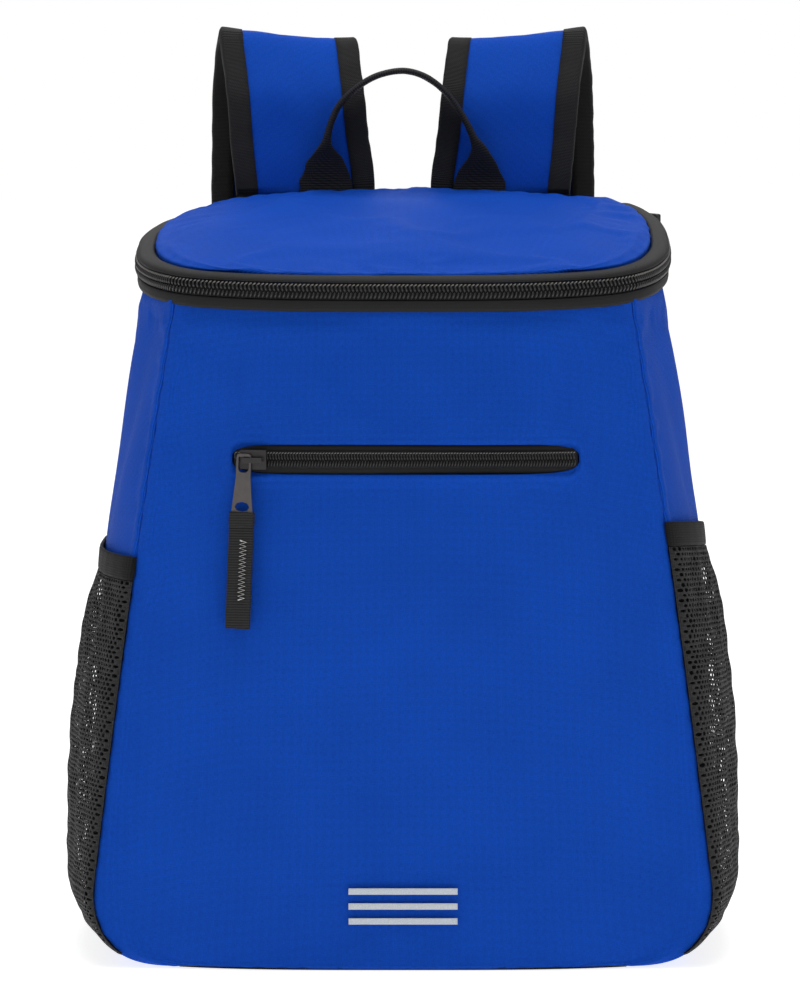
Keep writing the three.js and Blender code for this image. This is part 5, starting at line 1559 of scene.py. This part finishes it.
class BACKPACK_OT_lower_webbing(bpy.types.Operator):
    """Ladder buckles, the loops that hold them and the webbing to the bag's lower corners"""

    bl_idname = "backpack.lower_webbing"
    bl_label = "Lower Webbing"

    def execute(self, context):
        cloth = context.scene.backpack_cloth
        end = {key: value[0] for key, value in strap_frame([1.0]).items()}

        def place(down, out):
            down, out = np.broadcast_arrays(np.asarray(down, float), np.asarray(out, float))
            return end["middle"] + down[..., None] * end["run"] + out[..., None] * end["out"]

        radius = BUCKLE_THICKNESS / 2 + GAP + WEBBING / 2
        turn = np.linspace(0, np.pi, 13)
        first = BUCKLE_START + BUCKLE_BAR
        last = BUCKLE_START + 3 * BUCKLE_BAR + 2 * BUCKLE_SLOT - BUCKLE_BAR
        loop = np.vstack([place([GAP, 3.0, 6.0], radius),
                          place(first + radius * np.sin(turn), radius * np.cos(turn)),
                          place([6.0, 3.0, GAP], -radius)])
        tail = place(last + TAIL_LENGTH * (1 - np.arange(12) / 12), radius + 0.0 * np.arange(12))
        bend = place(last - radius * np.sin(turn), radius * np.cos(turn))
        leave = place(last + 2 * BUCKLE_BAR, -radius)
        seat = BACK_Y + GAP + WEBBING / 2
        above = np.array([lerp(ANCHOR_X, leave[0], 0.2), seat + 0.6, lerp(ANCHOR_Z, leave[2], 0.24)])
        anchor = np.array([ANCHOR_X, seat, ANCHOR_Z])
        free = curve_through([leave, above, anchor], np.linspace(0, 1, 40))
        lower = np.vstack([tail, bend, free])
        slant = np.array([1, 0, (ANCHOR_X - leave[0]) / (leave[2] - ANCHOR_Z)])
        share = np.clip((np.arange(len(lower)) - 25) / 18, 0, 1)[:, None]
        turned = unit(lerp(end["width"][None], slant[None], share))
        for name, side in SIDES.items():
            held = webbing_tube(f"buckle_loop_webbing_{name}", loop, np.tile(end["width"], (len(loop), 1)),
                                WEBBING_HALF, WEBBING, side)
            dress(held, webbing_cloth(cloth), [f"buckle_loop_{name}"])
            band = webbing_tube(f"strap_webbing_band_{name}", lower, turned, WEBBING_HALF, WEBBING, side)
            dress(band, webbing_cloth(cloth), [f"strap_webbing_{name}"])
            buckle = frame_copy(f"buckle_{name}", f"buckle_body_{name}", 0.0007, 3)
            plastic = hard_material("Buckle plastic", cloth.black, 0.45)
            dress(buckle, plastic, [f"buckle_{name}"])
        return {"FINISHED"}


class BACKPACK_OT_carry_handle(bpy.types.Operator):
    """Carry handle: webbing flat at its feet and folded into a cord over the arch"""

    bl_idname = "backpack.carry_handle"
    bl_label = "Carry Handle"

    def execute(self, context):
        cloth = context.scene.backpack_cloth
        across, up, fold = HANDLE_TABLE.T
        points = np.stack([across * HANDLE_HALF, BACK_Y - BACK_WALL + HANDLE_LAYER / 2 - HANDLE_LEAN * fold,
                           BACK_TOP_Z + GAP + up * HANDLE_RISE], -1)
        t = np.linspace(0, 1, 241)
        folded = np.clip(smooth_table(np.linspace(0, 1, len(fold)), fold, t), 0, 1)
        middle, run = curve_through(points, t), curve_run(points, t)
        side = unit(np.stack([run[:, 2], 0 * t, -run[:, 0]], -1))
        wide = lerp(HANDLE_WIDTH, HANDLE_CORD, folded ** 0.8)[:, None] / 2
        deep = lerp(HANDLE_LAYER, HANDLE_FOLD, folded)[:, None] / 2
        turn = np.linspace(0, 2 * np.pi, 32, endpoint=False)[None]
        power = lerp(0.35, 0.85, folded)[:, None]
        a = squared(np.cos(turn), power) * wide
        b = squared(np.sin(turn), power) * deep
        a = a * (1 + 0.05 * soft_noise(t[:, None] * 200, turn * 6, 12, 71))
        rings = middle[:, None] + a[..., None] * side[:, None] + b[..., None] * np.array([0, 1, 0])
        around = np.linspace(0, 2 * HANDLE_WIDTH, 33)
        uv = np.stack(np.broadcast_arrays(around[None], length_along(middle)[:, None]), -1)
        handle = tube("carry_handle_webbing", rings, uv)
        dress(handle, webbing_cloth(cloth), ["carry_handle"])
        return {"FINISHED"}


# Stage

# Middle of the view, and each lamp's name, place, size and power
VIEW_MIDDLE = (-0.0014, 0.0, 0.2079)
LAMPS = (
    ("Top", (0.0, -0.1, 1.9), 1.2, 18.0),
    ("Front left", (-1.5, -1.9, 1.0), 1.2, 1.6),
    ("Front right", (1.5, -1.9, 1.0), 1.2, 1.6),
    ("Behind", (0.0, 1.8, 1.2), 1.4, 5.0),
)


def studio_world():
    """White surroundings, whose light falls off from the ceiling to the horizon."""
    world = bpy.data.worlds.new("Studio")
    world.use_nodes = True
    tree = world.node_tree
    place = tree.nodes.new("ShaderNodeTexCoord")
    split = tree.nodes.new("ShaderNodeSeparateXYZ")
    tree.links.new(place.outputs["Generated"], split.inputs[0])
    upward = calc(tree, "MAXIMUM", split.outputs[2], 0.0)
    seen = tree.nodes.new("ShaderNodeLightPath").outputs["Is Camera Ray"]
    light = calc(tree, "MULTIPLY_ADD", upward, 0.6, 0.12)
    tree.links.new(calc(tree, "MAXIMUM", light, seen), tree.nodes["Background"].inputs[1])
    tree.nodes["Background"].inputs[0].default_value = (1, 1, 1, 1)
    return world


class BACKPACK_OT_stage(bpy.types.Operator):
    """Camera, floor and soft light"""

    bl_idname = "backpack.stage"
    bl_label = "Stage"

    def execute(self, context):
        stage, scene = context.scene.backpack_stage, context.scene
        target = Vector(VIEW_MIDDLE)
        rise, run = np.sin(stage.elevation), np.cos(stage.elevation)
        lens = bpy.data.cameras.new("Camera")
        lens.sensor_fit = "AUTO"
        lens.sensor_width = 36.0
        lens.lens = stage.lens
        lens.clip_end = 50.0
        camera = bpy.data.objects.new("Camera", lens)
        camera.location = target + stage.distance * Vector((0.0, -run, rise))
        camera.rotation_euler = (target - camera.location).to_track_quat("-Z", "Y").to_euler()
        scene.collection.objects.link(camera)
        scene.camera = camera
        scene.view_settings.view_transform = "Standard"
        scene.view_settings.look = "None"
        floor = bpy.data.meshes.new("floor")
        floor.from_pydata([(-8, -8, 0), (8, -8, 0), (8, 8, 0), (-8, 8, 0)], [], [(0, 1, 2, 3)])
        ground = bpy.data.objects.new("floor", floor)
        ground.location.z = -0.0005
        scene.collection.objects.link(ground)
        finish, _, shader = new_material("Floor", 0.9, specular=0.1)
        shader.inputs["Base Color"].default_value = (0.5, 0.5, 0.5, 1)
        shader.inputs["Emission Color"].default_value = (1, 1, 1, 1)
        shader.inputs["Emission Strength"].default_value = 0.8
        floor.materials.append(finish)
        scene.world = studio_world()
        for label, place, size, power in LAMPS:
            light = bpy.data.lights.new(label, "AREA")
            light.size = size
            light.energy = power
            lamp = bpy.data.objects.new(label, light)
            lamp.location = place
            lamp.rotation_euler = (Vector((0, 0, 0.2)) - lamp.location).to_track_quat("-Z", "Y").to_euler()
            scene.collection.objects.link(lamp)
        return {"FINISHED"}


class BACKPACK_PT_pieces(bpy.types.Panel):
    """Lists the pieces of the backpack"""

    bl_label = "Backpack"
    bl_idname = "BACKPACK_PT_pieces"
    bl_space_type = "VIEW_3D"
    bl_region_type = "UI"
    bl_category = "Backpack"

    def draw(self, context):
        for group in (getattr(context.scene, name) for name in GROUPS):
            for name in group.bl_rna.properties.keys():
                if name not in ("rna_type", "name"):
                    self.layout.prop(group, name)
        for operator in OPERATORS:
            self.layout.operator(operator.bl_idname)


GROUPS = {
    "backpack_cloth": BackpackCloth,
    "backpack_zips": BackpackZips,
    "backpack_nets": BackpackNets,
    "backpack_stage": BackpackStage,
}
OPERATORS = (
    BACKPACK_OT_stage,
    BACKPACK_OT_front_panel,
    BACKPACK_OT_side_gussets,
    BACKPACK_OT_lid,
    BACKPACK_OT_back_and_base,
    BACKPACK_OT_main_zip,
    BACKPACK_OT_pocket_zip,
    BACKPACK_OT_puller,
    BACKPACK_OT_reflective_bars,
    BACKPACK_OT_mesh_pockets,
    BACKPACK_OT_shoulder_straps,
    BACKPACK_OT_lower_webbing,
    BACKPACK_OT_carry_handle,
)


def register():
    for kind in (*GROUPS.values(), *OPERATORS, BACKPACK_PT_pieces):
        bpy.utils.register_class(kind)
    for name, kind in GROUPS.items():
        setattr(bpy.types.Scene, name, PointerProperty(type=kind))


def unregister():
    for name in GROUPS:
        delattr(bpy.types.Scene, name)
    for kind in (BACKPACK_PT_pieces, *reversed(OPERATORS), *reversed(GROUPS.values())):
        bpy.utils.unregister_class(kind)


def main():
    register()
    for operator in OPERATORS:
        group, name = operator.bl_idname.split(".")
        getattr(getattr(bpy.ops, group), name)()


if __name__ == "__main__":
    main()
